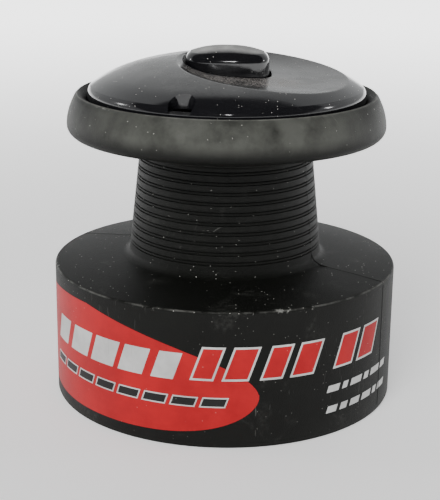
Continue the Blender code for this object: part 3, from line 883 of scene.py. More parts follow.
@dataclass
class SpoolBody:
    """The one-piece moulding: skirt, shoulder, ribbed arbor, flange, web and hub."""

    skirt_radius: float = 27.97
    skirt_height: float = 21.7
    skirt_wall: float = 2.0
    shoulder_top: float = 22.8
    shoulder_under: float = 19.3
    arbor_foot: float = 15.8
    arbor_top: float = 14.0
    arbor_wall: float = 1.7
    flange_under: float = 40.0
    flange_radius: float = 25.63
    flange_widest: float = 44.4
    flange_top: float = 49.3
    rim_radius: float = 24.05
    rim_wall: float = 0.58
    pocket_radius: float = 22.42
    pocket_floor: float = 45.2
    chamber_radius: float = 17.5
    web_top: float = 43.0
    web_under: float = 41.0
    hub_bore: float = 4.4
    hub_radius: float = 5.8
    hub_foot: float = 19.0
    groove_count: int = 10
    groove_pitch: float = 1.55
    groove_first: float = 25.1
    groove_half: float = 0.23
    groove_depth: float = 0.2
    line_width: float = 0.19
    facets: int = 256

    def arbor_radius(self, z: float) -> float:
        """Gives the arbor's radius at a level."""
        share = (z - self.shoulder_top) / (self.flange_under - self.shoulder_top)
        return self.arbor_foot + (self.arbor_top - self.arbor_foot) * share

    def arbor_profile(self) -> list[Point2]:
        """Gives the arbor's outline with its pairs of fine grooves, from the foot up."""
        points = []
        for number in range(self.groove_count):
            middle = self.groove_first + number * self.groove_pitch
            for side in (-1, 1):
                z = middle + side * self.groove_half
                radius = self.arbor_radius(z)
                half = self.line_width / 2
                for level, depth in ((-1.6, 0.0), (-0.7, 1.0), (0.7, 1.0), (1.6, 0.0)):
                    points.append((radius - self.groove_depth * depth, z + level * half))
        return points

    def outline(self) -> list[Point2]:
        """Gives the whole outline of the shell, from the skirt's foot round and back."""
        edge = 0.45
        points = [(self.skirt_radius - 0.25, 0.0), (self.skirt_radius - 0.07, 0.07)]
        points.append((self.skirt_radius, 0.25))
        points += [(self.skirt_radius, z) for z in (4.0, 8.0, 12.0, 16.0, 20.0)]
        points += arc((self.skirt_radius - edge, self.skirt_height - edge), edge, 0.0, 86.0, 6)
        points += [(self.arbor_foot + 7.0, 22.25), (self.arbor_foot + 3.0, 22.62)]
        fillet = 1.3
        foot = (self.arbor_foot + fillet - 0.1, self.shoulder_top + fillet - 0.1)
        points += arc(foot, fillet, -92.0, -176.0, 7)
        points += self.arbor_profile()
        points += [(self.arbor_top + 0.12, 39.75)]
        points += arc((self.arbor_top + 0.9, 39.5), 0.8, 176.0, 105.0, 4)
        points += [(self.arbor_top + 4.0, 41.05), (self.arbor_top + 8.0, 42.25)]
        points += arc((self.flange_radius - 1.75, self.flange_widest), 1.75, -78.0, 0.0, 10)
        steps = 12
        for i in range(1, steps):
            share = i / steps
            radius = self.flange_radius - (self.flange_radius - self.rim_radius) * share**1.9
            points.append((radius, self.flange_widest + (self.flange_top - self.flange_widest) * share))
        lip = self.rim_wall / 2
        points += arc((self.rim_radius - lip, self.flange_top - lip), lip, 20.0, 150.0, 8)
        points.append((self.pocket_radius + 0.15, self.flange_top - 0.75))
        points.append((self.pocket_radius, self.flange_top - 1.0))
        points += [(self.pocket_radius, self.pocket_floor), (self.chamber_radius, self.pocket_floor)]
        points.append((self.chamber_radius, self.web_under - 0.15))
        points.append((self.arbor_top - self.arbor_wall, self.web_under))
        foot = self.arbor_foot - self.arbor_wall
        points += [(foot - 0.1, 24.0), (foot, 21.4)]
        points += arc((foot + 1.2, 20.6), 1.2, 175.0, 262.0, 5)
        inner = self.skirt_radius - self.skirt_wall
        points += arc((inner - 1.0, self.shoulder_under - 1.0), 1.0, 88.0, 0.0, 5)
        points += [(inner, z) for z in (12.0, 6.0, 0.3)]
        points += [(inner + 0.25, 0.0)]
        return points

    def shell(self) -> bpy.types.Object:
        """Builds the turned shell.

        Returns:
            The shell.
        """
        piece = turn("spool_shell", self.outline(), self.facets)
        sharpen(piece, 28.0)
        return piece

    def web(self) -> bpy.types.Object:
        """Builds the front web with its screw holes, leg slots, posts and rails.

        Returns:
            The web.
        """
        piece = turn(
            "front_web",
            [
                (self.hub_bore, self.web_under),
                (self.chamber_radius + 0.6, self.web_under),
                (self.chamber_radius + 0.6, self.web_top),
                (self.hub_bore, self.web_top),
            ],
            96,
        )
        cutters = []
        for number in range(1, 5):
            hole = disc(1.05, 24, node_middle(f"cap_screw_{number}"))
            cutters.append(slab("cutter", hole, self.web_under - 1, self.web_top + 1))
        for start, end in ((4.95, 7.75), (-8.3, -5.5)):
            cutters.append(block("cutter", (start, -1.6, self.web_under - 1), (end, 1.6, self.web_top + 1)))
        combine(piece, cutters, "DIFFERENCE")
        root, top = self.web_top - 0.6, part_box("latch_cover")[0].z / MM - 0.05
        added = []
        for number in range(1, 5):
            added.append(slab("post", disc(1.7, 28, node_middle(f"cover_screw_{number}")), root, top))
        for side in (4.9, -5.9):
            added.append(block("rail", (-10.8, side, root), (10.8, side + 1.0, top)))
        added.append(block("spring_stop", (13.35, -2.3, root), (14.5, 2.3, top)))
        combine(piece, added, "UNION")
        sharpen(piece)
        return piece

    def hub(self) -> bpy.types.Object:
        """Builds the hub with its three ribs and gear bosses.

        Returns:
            The hub.
        """
        piece = turn(
            "hub",
            [
                (self.hub_bore + 0.2, self.hub_foot),
                (self.hub_radius - 0.2, self.hub_foot),
                (self.hub_radius, self.hub_foot + 0.2),
                (self.hub_radius + 0.15, self.web_under + 0.4),
                (self.hub_bore, self.web_under + 0.4),
                (self.hub_bore, self.hub_foot + 0.2),
            ],
            64,
        )
        added = []
        for number in range(1, 4):
            x, y = node_middle(f"gear_screw_{number}")
            angle = math.atan2(y, x)
            added.append(slab("boss", disc(2.0, 28, (x, y)), self.hub_foot, self.hub_foot + 8.0))
            rib = block("rib", (5.2, -0.7, self.web_under - 17.0), (13.2, 0.7, self.web_under + 0.4))
            rib.data.transform(Matrix.Rotation(angle, 4, "Z"))
            added.append(rib)
        combine(piece, added, "UNION")
        sharpen(piece)
        return piece

    def mould_lines(self) -> bpy.types.Object:
        """Builds the two hair-thin flash lines that the mould left down the outside.

        Returns:
            Both lines in one piece.
        """
        points: list[Point3] = []
        faces: list[list[int]] = []
        route = [(28.0, 0.8)] + [(28.0, 0.8 + i * 2.0) for i in range(1, 11)] + [(28.0, 21.2), (27.85, 21.58)]
        route += [(27.5, 21.72), (22.8, 22.25), (18.8, 22.62), (17.2, 22.85), (16.1, 23.5)]
        route += [(self.arbor_radius(z), z) for z in (24.4, 28.0, 32.0, 36.0, 39.4)]
        for side in (math.radians(-27.0), math.radians(153.0)):
            across = Vector((-math.sin(side), math.cos(side), 0.0))
            out = Vector((math.cos(side), math.sin(side), 0.0))
            first = len(points)
            for i, (radius, z) in enumerate(route):
                before = Vector((*route[max(i - 1, 0)], 0.0))
                after = Vector((*route[min(i + 1, len(route) - 1)], 0.0))
                run = (after - before).normalized()
                lift = out * run.y + Vector((0.0, 0.0, -run.x))
                middle = out * radius + Vector((0.0, 0.0, z))
                for share, height in ((-1.0, -0.12), (-0.35, 0.035), (0.35, 0.035), (1.0, -0.12)):
                    points.append(tuple(middle + across * 0.11 * share + lift * (height - 0.012)))
            faces += [[first + index for index in face] for face in bands(len(route), 4)]
        piece = new_piece("mould_lines", points, faces)
        sharpen(piece)
        return piece

    def build(self) -> None:
        """Builds and dresses every piece of the moulding."""
        plain = Moulding().material("charcoal_moulding")
        skirt_crease = Crease(self.skirt_radius - 0.15, self.skirt_height - 0.15)
        lip_crease = Crease(self.rim_radius - 0.15, self.flange_top - 0.1, 0.16, 0.3)
        lip = Lip(self.rim_radius, self.flange_widest)
        # Worn finish: its lip and creases also carry painted highlights.
        worn = Moulding().material("charcoal_moulding_worn_and_highlit", (skirt_crease, lip_crease), lip)
        Piece(self.shell(), Body.SPOOL, Slot.MOULDING, ("spool_body",)).settle(worn)
        for piece in (self.web(), self.hub(), self.mould_lines()):
            Piece(piece, Body.SPOOL, Slot.MOULDING).settle(plain)


@dataclass
class SkirtPrint:
    """The print wrapped round the skirt: a red teardrop, silver and red slanted bars, and rows of dashes.

    Places are given as (s, z): s runs round the skirt from its front, z up from its rim.
    """

    radius: float = 27.97
    layer: float = 0.007
    step: float = 0.5
    lean: float = 0.35

    def patch(
        self,
        start: float,
        end: float,
        low: Callable[[float], float],
        high: Callable[[float], float],
        layer: int,
        corners_at: Sequence[float] = (),
    ) -> Skin:
        """Wraps a thin patch round the skirt.

        Args:
            start: Its first s.
            end: Its last s.
            low: Its lower edge for each s.
            high: Its upper edge for each s.
            layer: How many layers of ink lie under it, counted from 1.
            corners_at: Places along s where an edge turns sharply.

        Returns:
            The points and faces of a closed patch.
        """
        count = max(2, round((end - start) / self.step))
        places = {start, end, *corners_at}
        places |= {start + (end - start) * i / count for i in range(1, count)}
        points: list[Point3] = []
        for s in sorted(places):
            angle = s / self.radius
            for radius, edge in ((-0.004, low), (0.0, low), (0.0, high), (-0.004, high)):
                reach = self.radius + self.layer * layer + radius
                points.append((reach * math.sin(angle), -reach * math.cos(angle), edge(s)))
        return points, bands(len(places), 4)

    def bar(
        self, left: float, foot: float, width: float, height: float, layer: int, grow: float = 0.0
    ) -> Skin:
        """Wraps a slanted bar round the skirt.

        Args:
            left: Its lower left corner's s.
            foot: Its lower edge.
            width: Its width.
            height: Its height.
            layer: How many layers of ink lie under it, counted from 1.
            grow: How far its edges move out.

        Returns:
            The points and faces of a closed bar.
        """
        left, foot = left - grow * (1 + self.lean), foot - grow
        width, height = width + 2 * grow, height + 2 * grow
        slant = self.lean * height
        thin = 0.02

        def low(s: float) -> float:
            """Gives the lower edge."""
            return foot + max(0.0, (s - left - width) / self.lean) - (thin if s > left + width else 0.0)

        def high(s: float) -> float:
            """Gives the upper edge."""
            return foot + min(height, (s - left) / self.lean) + (thin if s < left + slant else 0.0)

        return self.patch(left, left + width + slant, low, high, layer, (left + slant, left + width))

    def piece(self, name: str, patches: Sequence[Skin]) -> bpy.types.Object:
        """Joins patches of one ink in one piece.

        Args:
            name: Name of the piece.
            patches: Points and faces of each patch.

        Returns:
            The piece.
        """
        points: list[Point3] = []
        faces: list[list[int]] = []
        for some_points, some_faces in patches:
            faces += [[index + len(points) for index in face] for face in some_faces]
            points += some_points
        piece = new_piece(name, points, faces)
        sharpen(piece)
        return piece

    def teardrop(self) -> Skin:
        """Wraps the red field, blunt at its right end and tapered at its left.

        Returns:
            The points and faces of the field.
        """
        nose, belly, tail = 5.43, -24.0, -58.0
        middle, rise, drop = 8.0, 11.5, 5.95

        def reach(s: float, power: float, root: float) -> float:
            """Gives the share of the full height at s."""
            if s >= belly:
                return max(0.003, 1 - min(1.0, (s - belly) / (nose - belly)) ** power) ** root
            return max(0.003, 1 - min(1.0, (belly - s) / (belly - tail)) ** 2.6) ** 0.6

        def low(s: float) -> float:
            """Gives the lower edge."""
            return middle - drop * reach(s, 4.2, 0.56)

        def high(s: float) -> float:
            """Gives the upper edge."""
            return middle + rise * reach(s, 1.1, 0.52)

        near_ends = [nose - 0.02, nose - 0.08, nose - 0.2, nose - 0.35, tail + 0.02, tail + 0.1, tail + 0.3]
        return self.patch(tail, nose, low, high, 1, near_ends)

    def build(self) -> None:
        """Builds and dresses the print, one piece for each ink."""
        red = Ink((0.40, 0.006, 0.010)).material("red_ink")
        silver = Ink((0.56, 0.56, 0.55), 0.36, 0.35).material("silver_ink")
        dark = Ink((0.012, 0.012, 0.012)).material("dark_ink")
        silver_bars, red_bars, dark_bars = [], [], []
        for number, width in enumerate((4.4, 4.9, 4.9, 4.4, 3.6)):
            silver_bars.append(self.bar(-34.8 + 5.9 * number, 10.7, width, 4.3, 2))
        for left, width in ((-4.6, 2.9), (0.2, 3.4), (5.9, 2.9), (10.6, 3.4), (18.3, 3.4), (23.4, 3.9)):
            red_bars.append(self.bar(left, 11.2, width, 4.7, 3))
            silver_bars.append(self.bar(left, 11.2, width, 4.7, 2, 0.33))
        for number in range(8):
            left = -35.5 + 4.6 * number
            dark_bars.append(self.bar(left, 6.8, 3.5, 1.2, 3))
            silver_bars.append(self.bar(left, 6.8, 3.5, 1.2, 2, 0.22))
        for foot, widths in ((7.1, (2.4, 1.1, 2.7, 1.3, 3.0, 2.0)), (3.7, (2.0, 1.5, 2.3, 2.6, 1.2, 2.8))):
            left = 16.8
            for width in widths:
                silver_bars.append(self.bar(left, foot, width, 1.1, 1))
                left += width + 0.75
        pieces = (
            ("red_field_print", [self.teardrop()], red),
            ("silver_print", silver_bars, silver),
            ("red_bar_print", red_bars, red),
            ("dark_bar_print", dark_bars, dark),
        )
        for name, patches, ink in pieces:
            Piece(self.piece(name, patches), Body.SPOOL, Slot.MOULDING).settle(ink)


@dataclass
class Cap:
    """The glossy domed cap with its thumb dish, edge notch and button hole."""

    radius: float = 22.3
    edge_level: float = 50.35
    crown: float = 4.9
    power: float = 2.66
    foot_level: float = 45.5
    inner_level: float = 49.7
    dish_middle: Point2 = (5.6, -3.5)
    dish_slope: Point2 = (0.1065, -0.0574)
    dish_level: float = 54.11
    dish_half: Point2 = (13.4, 13.9)
    dish_power: float = 2.25
    dish_depth: float = 1.15
    dish_flatness: float = 4.0
    dish_bias: float = 0.5
    blend: float = 0.10
    hole: Point2 = (14.1, 9.5)
    hole_power: float = 3.1
    edge_radius: float = 1.7
    edge_slope: float = 34.0
    edge_droop: float = 0.3
    inner_radius: float = 20.6
    boss_radius: float = 2.0
    notch_angle: float = 252.0
    notch_radius: float = 2.0
    notch_ring: float = 21.1
    notch_floor: float = 49.5
    spokes: int = 320
    rings: int = 110

    def dome(self, x: float, y: float) -> float:
        """Gives the dome's height.

        Args:
            x: Place along X in the plan, in millimetres.
            y: Place along Y in the plan, in millimetres.

        Returns:
            The result in millimetres.
        """
        share = min(math.hypot(x, y) / self.radius, 1.0)
        droop = max(0.0, (share - 0.8) / 0.2) ** 2
        return self.edge_level + self.crown * (1 - share**self.power) - self.edge_droop * droop

    def dish(self, x: float, y: float) -> float:
        """Gives the dish's height, a shallow bowl pressed along a slanting rim.

        Args:
            x: Place along X in the plan, in millimetres.
            y: Place along Y in the plan, in millimetres.

        Returns:
            The result in millimetres.
        """
        dx, dy = x - self.dish_middle[0], y - self.dish_middle[1]
        rim = self.dish_level - self.dish_slope[0] * x - self.dish_slope[1] * y
        reach = sum(abs(d / half) ** self.dish_power for d, half in zip((dx, dy), self.dish_half))
        share = reach ** (1 / self.dish_power)
        bias = 1 - self.dish_bias * dx / self.dish_half[0]
        return rim + self.dish_depth * bias * (min(share, 1.6) ** self.dish_flatness - 1)

    def height(self, x: float, y: float) -> float:
        """Gives the cap's height, with a soft edge where the dish meets the dome.

        Args:
            x: Place along X in the plan, in millimetres.
            y: Place along Y in the plan, in millimetres.

        Returns:
            The result in millimetres.
        """
        a, b = self.dome(x, y), self.dish(x, y)
        gap = max(0.0, 1 - abs(a - b) / self.blend)
        return min(a, b) - gap * gap * self.blend / 4

    def surface(self) -> bpy.types.Object:
        """Builds the cap as one closed skin.

        Returns:
            The cap before its notch is cut.
        """
        hole = superellipse(*self.hole, self.hole_power, self.spokes)
        edge = [(self.radius * x / math.hypot(x, y), self.radius * y / math.hypot(x, y)) for x, y in hole]

        def ring(share: float, lower: float = 0.0) -> list[Point3]:
            """Gives the outline a share of the way from the hole to the edge."""
            spots = [(h[0] + (e[0] - h[0]) * share, h[1] + (e[1] - h[1]) * share) for h, e in zip(hole, edge)]
            return [(x, y, self.height(x, y) - lower) for x, y in spots]

        drop, inner = 0.22, 0.022
        outlines = [[(x, y, self.inner_level) for x, y in hole], ring(0.0, drop)]
        outlines += [ring(0.004, 0.3 * drop), ring(0.012, 0.08 * drop), ring(inner)]
        lean = math.radians(self.edge_slope)
        start = 1 - self.edge_radius * (1 - math.sin(lean)) / self.radius
        for i in range(1, self.rings + 1):
            outlines.append(ring(inner + (start - inner) * (1 - (1 - i / self.rings) ** 1.25)))
        level = self.dome(self.radius * start, 0.0) - self.edge_radius * math.cos(lean)
        middle = (self.radius - self.edge_radius, level)
        for radius, level in arc(middle, self.edge_radius, 90 - self.edge_slope - 6, 0.0, 8) + [
            (self.radius, middle[1] - 0.8),
            (self.radius - 0.1, middle[1] - 0.95),
            (self.radius - 0.1, self.foot_level),
            (self.inner_radius, self.foot_level),
            (self.inner_radius, self.inner_level - 0.6),
            (self.inner_radius - 0.6, self.inner_level),
        ]:
            grow = radius / self.radius
            outlines.append([(x * grow, y * grow, level) for x, y in edge])
        points = [point for outline in outlines for point in outline]
        return new_piece("domed_cap", points, bands(len(outlines), self.spokes, closed=True))

    def boss(self, number: int) -> bpy.types.Object:
        """Builds the hollow boss that one of the cap's screws runs into.

        Args:
            number: The screw's number.

        Returns:
            The boss.
        """
        node = f"cap_screw_{number}"
        foot, tip, roof = 43.1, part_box(node)[1].z / MM + 0.5, self.inner_level + 0.6
        bore, wall = 0.98, self.boss_radius
        profile = [(bore, foot + 0.15), (bore + 0.15, foot), (wall - 0.15, foot)]
        profile += [(wall, foot + 0.15), (wall, roof)]
        profile += [(0.0, roof), (0.0, tip), (bore, tip)]
        piece = turn(f"cap_boss_{number}", profile, 36, node_middle(node))
        sharpen(piece)
        return piece

    def build(self) -> None:
        """Builds, notches and dresses the cap."""
        piece = self.surface()
        angle = math.radians(self.notch_angle)
        middle = (self.notch_ring * math.cos(angle), self.notch_ring * math.sin(angle))
        notch = slab("cutter", disc(self.notch_radius, 48, middle), self.notch_floor, self.edge_level + 6)
        combine(piece, [notch], "DIFFERENCE")
        sharpen(piece, 32.0)
        # The cap's finish carries a light painted reflection on faces that look up.
        material = Gloss().material("gloss_black_cap_with_painted_sheen", Dirt())
        Piece(piece, Body.SPOOL, Slot.GLOSS, ("front_cap",)).settle(material)
        for number in range(1, 5):
            Piece(self.boss(number), Body.SPOOL, Slot.GLOSS).settle(material)


@dataclass
class PushButton:
    """The push button with its crowned top, flange and cam legs."""

    length: float = 13.4
    width: float = 8.8
    power: float = 3.1
    top_level: float = 56.69
    edge: float = 1.7
    edge_turn: float = 60.0
    crown: float = 1.0
    crown_power: float = 2.2
    flange_level: float = 48.36
    flange_top: float = 49.36
    flange_half: Point2 = (8.6, 3.0)
    leg_tips: Point2 = (5.2, -8.05)
    leg_tip_level: float = 43.5
    leg_thickness: float = 1.4
    leg_half_width: float = 1.3
    cam_height: float = 3.0
    cam_shift: float = 1.8
    pocket: Point2 = (9.65, 6.2)
    pocket_roof: float = 54.49

    def cap_block(self) -> bpy.types.Object:
        """Builds the crowned block.

        Returns:
            The block.
        """
        count = 160
        outlines = []
        turn_to = math.radians(self.edge_turn)
        top = self.top_level - self.crown
        shoulder = top - self.edge * math.sin(turn_to)
        levels = [(self.flange_level, 0.0), (shoulder - 3.0, 0.0), (shoulder, 0.0)]
        steps = 10
        for i in range(1, steps + 1):
            lean = turn_to * i / steps
            levels.append((shoulder + self.edge * math.sin(lean), self.edge * (1 - math.cos(lean))))
        for z, inset in levels:
            outline = superellipse(self.length - 2 * inset, self.width - 2 * inset, self.power, count)
            outlines.append([(x, y, z) for x, y in outline])
        base = outlines[-1]
        rings = 16
        for i in range(1, rings):
            share = 1 - i / rings
            rise = self.crown * (1 - share**self.crown_power)
            outlines.append([(x * share, y * share, top + rise) for x, y, _ in base])
        piece = stack("push_button", outlines)
        combine(piece, [self.hollow()], "DIFFERENCE")
        sharpen(piece, 50.0)
        return piece

    def hollow(self) -> bpy.types.Object:
        """Builds the hollow under the button, where its spring stands."""
        outline = superellipse(*self.pocket, 8.0, 64)
        return slab("pocket", outline, self.flange_level - 1.0, self.pocket_roof)

    def leg(self, tip: float) -> bpy.types.Object:
        """Builds one slanted cam leg.

        Args:
            tip: The back face's place along X at the tip.

        Returns:
            The leg.
        """
        bend = self.leg_tip_level + self.cam_height
        top = self.flange_level + 0.4
        front = tip + self.leg_thickness
        side = [
            (tip, self.leg_tip_level),
            (front, self.leg_tip_level),
            (front + self.cam_shift, bend),
            (front + self.cam_shift, top),
            (tip + self.cam_shift, top),
            (tip + self.cam_shift, bend),
        ]
        half = self.leg_half_width
        return stack("leg", [[(x, y, z) for x, z in side] for y in (half, -half)])

    def build(self) -> None:
        """Builds and dresses the button and its working end."""
        # The button's strong pale coat on its top is partly dust and partly a painted reflection.
        material = Gloss(roughness=0.06, dust=0.12, haze=0.08, dust_and_sheen=0.9).material("gloss_black_button_with_painted_sheen")
        button = self.cap_block()
        Piece(button, Body.BUTTON, Slot.GLOSS, ("release_button",)).settle(material)
        x, y = self.flange_half
        flange = block("button_flange", (-x, -y, self.flange_level), (x, y, self.flange_top))
        combine(flange, [self.leg(tip) for tip in self.leg_tips], "UNION")
        combine(flange, [self.hollow()], "DIFFERENCE")
        round_edges(flange, 0.12)
        Piece(flange, Body.BUTTON, Slot.GLOSS).settle(material)


@dataclass
class Coil:
    """A coil spring with closed end turns."""

    name: str
    node: str
    radius: float
    wire: float
    turns: int
    along_x: bool = False
    joint: str = ""
    travel: float = 0.0

    def build(self, material: bpy.types.Material) -> None:
        """Builds the spring in its node's box.

        Args:
            material: The finish.
        """
        low, high = (Vector(corner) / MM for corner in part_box(self.node))
        axis = 0 if self.along_x else 2
        start, end = low[axis] + self.wire, high[axis] - self.wire
        centre = (low + high) / 2
        sides, per_turn = 10, 36
        ends = 0.75
        count = self.turns * per_turn
        points: list[Vector] = []
        for i in range(count + 1):
            angle = 2 * math.pi * i / per_turn
            turn_now = i / per_turn
            closed = 2 * self.wire * 1.05
            if turn_now < ends:
                z = start + closed * turn_now
            elif turn_now > self.turns - ends:
                z = end - closed * (self.turns - turn_now)
            else:
                share = (turn_now - ends) / (self.turns - 2 * ends)
                z = start + closed * ends + (end - start - 2 * closed * ends) * share
            outward = Vector((math.cos(angle), math.sin(angle), 0.0))
            for j in range(sides):
                lean = 2 * math.pi * j / sides
                offset = outward * math.cos(lean) + Vector((0.0, 0.0, math.sin(lean)))
                local = outward * self.radius + Vector((0.0, 0.0, z)) + offset * self.wire
                if self.along_x:
                    points.append(Vector((local.z, local.y + centre.y, local.x + centre.z)))
                else:
                    points.append(Vector((local.x + centre.x, local.y + centre.y, local.z)))
        piece = new_piece(self.name, points, bands(count + 1, sides))
        Piece(piece, Body.SPOOL, Slot.STEEL, (self.node,)).settle(material)
        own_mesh(piece)


@dataclass
class Screws:
    """Small pan-head screws with a cross recess, one for each screw node."""

    prefix: str
    count: int
    shank: float
    head: float
    height: float
    upwards: bool

    def build(self, material: bpy.types.Material) -> None:
        """Builds each screw in its node's place.

        Args:
            material: The finish.
        """
        for number in range(1, self.count + 1):
            node = f"{self.prefix}_{number}"
            low, high = (Vector(corner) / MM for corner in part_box(node))
            length = high.z - low.z - self.height
            profile = [(0.0, length), (self.shank * 0.25, length)]
            threads = int((length - 0.9) / 0.42)
            for thread in range(threads):
                z = length - 0.45 - 0.42 * thread
                profile += [(self.shank * 0.78, z), (self.shank, z - 0.12), (self.shank * 0.78, z - 0.26)]
            profile += [(self.shank * 0.8, 0.12), (self.shank * 0.95, 0.0), (self.head - 0.06, 0.0)]
            crown = arc((self.head - 0.42, -self.height + 0.42), 0.42, 0.0, -70.0, 5)
            profile += [(self.head, -0.08)] + crown + [(0.0, -self.height)]
            piece = turn(f"{self.prefix}_{number}_finished", profile, 40)
            recess = []
            arm, half = self.head * 0.62, self.head * 0.13
            for across in (False, True):
                x, y = (half, arm) if across else (arm, half)
                recess.append(block("cutter", (-x, -y, -self.height - 1), (x, y, -self.height * 0.42)))
            combine(piece, recess, "DIFFERENCE")
            sharpen(piece, 30.0)
            turn_over = Matrix.Identity(4) if self.upwards else Matrix.Rotation(math.pi, 4, "X")
            seat = low.z + self.height if self.upwards else high.z - self.height
            middle = Vector((*node_middle(node), seat)) * MM
            spin = Matrix.Rotation(0.7 * number, 4, "Z")
            piece.data.transform(Matrix.Translation(middle) @ turn_over @ spin)
            Piece(piece, Body.SPOOL, Slot.SCREW, (node,)).settle(material)


@dataclass
class WorkingParts:
    """The small parts inside: latch, cover, bushes, click gear, springs and screws."""

    kept: tuple[tuple[str, str], ...] = (
        ("latch_plate", "steel"),
        ("latch_cover", "acetal"),
        ("front_bush", "brass"),
        ("rear_bush", "brass"),
        ("click_gear", "acetal"),
    )

    def build(self) -> None:
        """Dresses the parts whose solids stay, and builds the springs and screws."""
        finishes = {
            "steel": Metal((0.56, 0.56, 0.57)).material("stamped_steel"),
            "brass": Metal((0.62, 0.43, 0.17), 0.26).material("turned_brass"),
            "acetal": Acetal().material("natural_acetal"),
        }
        for node, finish in self.kept:
            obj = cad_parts[node]
            obj.data.materials.clear()
            obj.data.materials.append(finishes[finish])
            log.info("%s: solid kept, finished in %s", node, finish)
        wire = Metal((0.5, 0.5, 0.52), 0.22).material("spring_wire")
        Coil("button_coil", "button_spring", 2.5, 0.25, 6, joint="button_press", travel=2.0).build(wire)
        Coil("latch_coil", "latch_spring", 0.5, 0.1, 6, True, "latch_slide", 1.2).build(wire)
        plated = Metal((0.5, 0.49, 0.46), 0.3).material("plated_screw")
        Screws("cover_screw", 4, 0.7, 1.3, 0.8, False).build(plated)
        Screws("cap_screw", 4, 0.9, 2.0, 1.4, True).build(plated)
        Screws("gear_screw", 3, 0.8, 1.5, 0.9, True).build(plated)


# ---- studio ------------------------------------------------------------------------------------


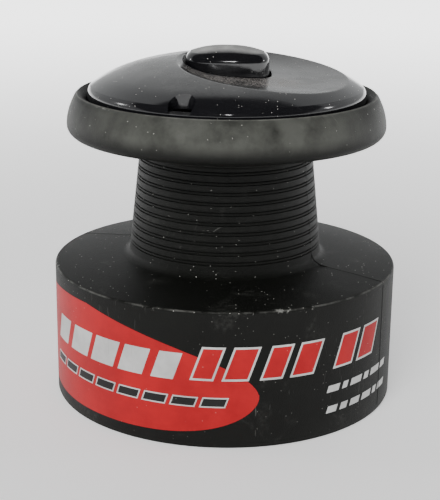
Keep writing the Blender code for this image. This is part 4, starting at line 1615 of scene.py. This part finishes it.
@dataclass
class Studio:
    """Camera, pale floor that glows with painted light, and soft lights."""

    camera_place: Point3 = (0.0, -201.8, 84.0)
    camera_target: Point3 = (-0.8, 0.0, 22.7)
    camera_roll: float = 0.69
    lens: float = 91.3
    paper_near_painted_shade: Colour = (0.82, 0.815, 0.812)
    paper_far_painted_light: Colour = (0.94, 0.945, 0.945)
    paper_painted_glow: Point2 = (0.42, 2.5)
    glow_reach: Point2 = (0.06, 0.55)
    dim_way: Point3 = (0.0, -0.673, 0.739)
    dim_edge: Point2 = (70.5, 66.0)
    room_pale: Colour = (0.92, 0.935, 0.94)
    room_dim: Colour = (0.07, 0.07, 0.073)
    horizon: Colour = (2.6, 2.62, 2.62)
    horizon_height: Point2 = (0.1, 0.05)
    overhead_from: Point3 = (-0.25, -0.75, 0.64)
    overhead_spread: float = 36.0
    overhead_strength: float = 3.0

    def hang(self, name: str, data: bpy.types.ID, place: Point3, target: Point3) -> bpy.types.Object:
        """Puts a camera or light at a place and aims it.

        Args:
            name: Name of the object.
            data: The camera or light.
            place: Where it stands, in millimetres.
            target: The point that it looks at, in millimetres.

        Returns:
            The object.
        """
        obj = bpy.data.objects.new(name, data)
        bpy.context.scene.collection.objects.link(obj)
        where = Vector(place) * MM
        aim = (Vector(target) * MM - where).to_track_quat("-Z", "Y").to_matrix().to_4x4()
        obj.matrix_world = Matrix.Translation(where) @ aim
        return obj

    def camera(self) -> None:
        """Sets the camera."""
        data = bpy.data.cameras.new("camera")
        data.lens = self.lens
        data.sensor_width = 36.0
        data.clip_start = 0.01
        data.clip_end = 50.0
        camera = self.hang("camera", data, self.camera_place, self.camera_target)
        camera.matrix_world @= Matrix.Rotation(math.radians(self.camera_roll), 4, "Z")
        bpy.context.scene.camera = camera

    def floor(self) -> None:
        """Lays the pale paper floor, its colour painted darker near the spool and lighter away, and its glow
        painted light that grows away from the spool.
        """
        n = Surface("pale_paper_painted_glow")
        place = n.place()
        away = n.add("ShaderNodeVectorMath", {0: place}, operation="LENGTH").outputs["Value"]
        # Painted shade and light: the paper is darker near the spool and lighter far from it.
        tone = n.mix(n.ramp(away, 0.03, 0.4), self.paper_near_painted_shade, self.paper_far_painted_light)
        mottle = n.mix(n.noise(place, 6.0, 3.0), (1.0, 1.0, 1.0), (0.96, 0.96, 0.96))
        # Painted light: the floor glows, dimmer near the spool and brighter far out, though it is no lamp.
        near, far = ((value, value, value) for value in self.paper_painted_glow)
        sockets = {
            "Base Color": n.mix(1.0, tone, mottle, "MULTIPLY"),
            "Emission Color": n.mix(n.ramp(away, *self.glow_reach), near, far),
            "Emission Strength": 1.0,
            "Roughness": 0.7,
            "Specular IOR Level": 0.2,
        }
        for label, value in sockets.items():
            n.put(n.shader.inputs[label], value)
        size, level = 3000.0, -0.05
        corners = [(-size, -size, level), (size, -size, level), (size, size, level), (-size, size, level)]
        floor = new_piece("floor", corners, [(0, 1, 2, 3)])
        floor.data.materials.append(n.material)

    def sky(self) -> None:
        """Sets the room: pale at the sides and behind, dim in front and overhead."""
        world = bpy.data.worlds.new("room")
        world.use_nodes = True
        n = Nodes(world.node_tree)
        way = n.add("ShaderNodeTexCoord").outputs["Generated"]
        ways = {0: way, 1: self.dim_way}
        facing = n.add("ShaderNodeVectorMath", ways, operation="DOT_PRODUCT").outputs["Value"]
        low, high = (math.cos(math.radians(angle)) for angle in self.dim_edge)
        tone = n.mix(n.ramp(facing, low, high), self.room_pale, self.room_dim)
        height = n.add("ShaderNodeSeparateXYZ", {0: way}).outputs[2]
        tone = n.mix(n.ramp(height, *self.horizon_height), tone, self.horizon)
        n.tree.links.new(tone, world.node_tree.nodes["Background"].inputs[0])
        bpy.context.scene.world = world

    def overhead(self) -> None:
        """Hangs the broad soft light, above and a little in front."""
        data = bpy.data.lights.new("soft_overhead", "SUN")
        data.energy = self.overhead_strength
        data.angle = math.radians(self.overhead_spread)
        lamp = bpy.data.objects.new("soft_overhead", data)
        bpy.context.scene.collection.objects.link(lamp)
        lamp.rotation_euler = Vector(self.overhead_from).to_track_quat("Z", "Y").to_euler()
        lamp.visible_glossy = False

    def strip(self, name: str, place: Point3, size: Point2, power: float) -> None:
        """Hangs a small rectangular light that faces the spool.

        Args:
            name: Name of the light.
            place: Where it hangs, in millimetres.
            size: Width and height in millimetres.
            power: Power in watts.
        """
        data = bpy.data.lights.new(name, "AREA")
        data.shape = "RECTANGLE"
        data.size, data.size_y = size[0] * MM, size[1] * MM
        data.energy = power
        self.hang(name, data, place, (0.0, 0.0, 30.0))

    def build(self) -> None:
        """Sets up the camera, floor, room and lights."""
        self.camera()
        self.floor()
        self.sky()
        self.overhead()
        self.strip("front_window", (15, -520, 290), (34, 40), 0.22)
        self.strip("left_window", (-500, 60, 240), (60, 60), 0.25)
        self.strip("right_window", (500, 20, 240), (60, 60), 0.25)


def corners(box: Sequence[Sequence[float]]) -> list[list[float]]:
    """Gives a box's two corners as plain lists."""
    return [[float(value) for value in corner] for corner in box]


def write_size() -> None:
    """Updates the view layer.
    """
    bpy.context.view_layer.update()


def main() -> None:
    """Builds the spool and its studio in order."""
    logging.basicConfig(level=logging.INFO, format="%(name)s %(message)s")
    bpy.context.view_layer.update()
    Studio().build()
    SpoolBody().build()
    SkirtPrint().build()
    Cap().build()
    PushButton().build()
    WorkingParts().build()
    write_size()


if __name__ == "__main__":
    main()
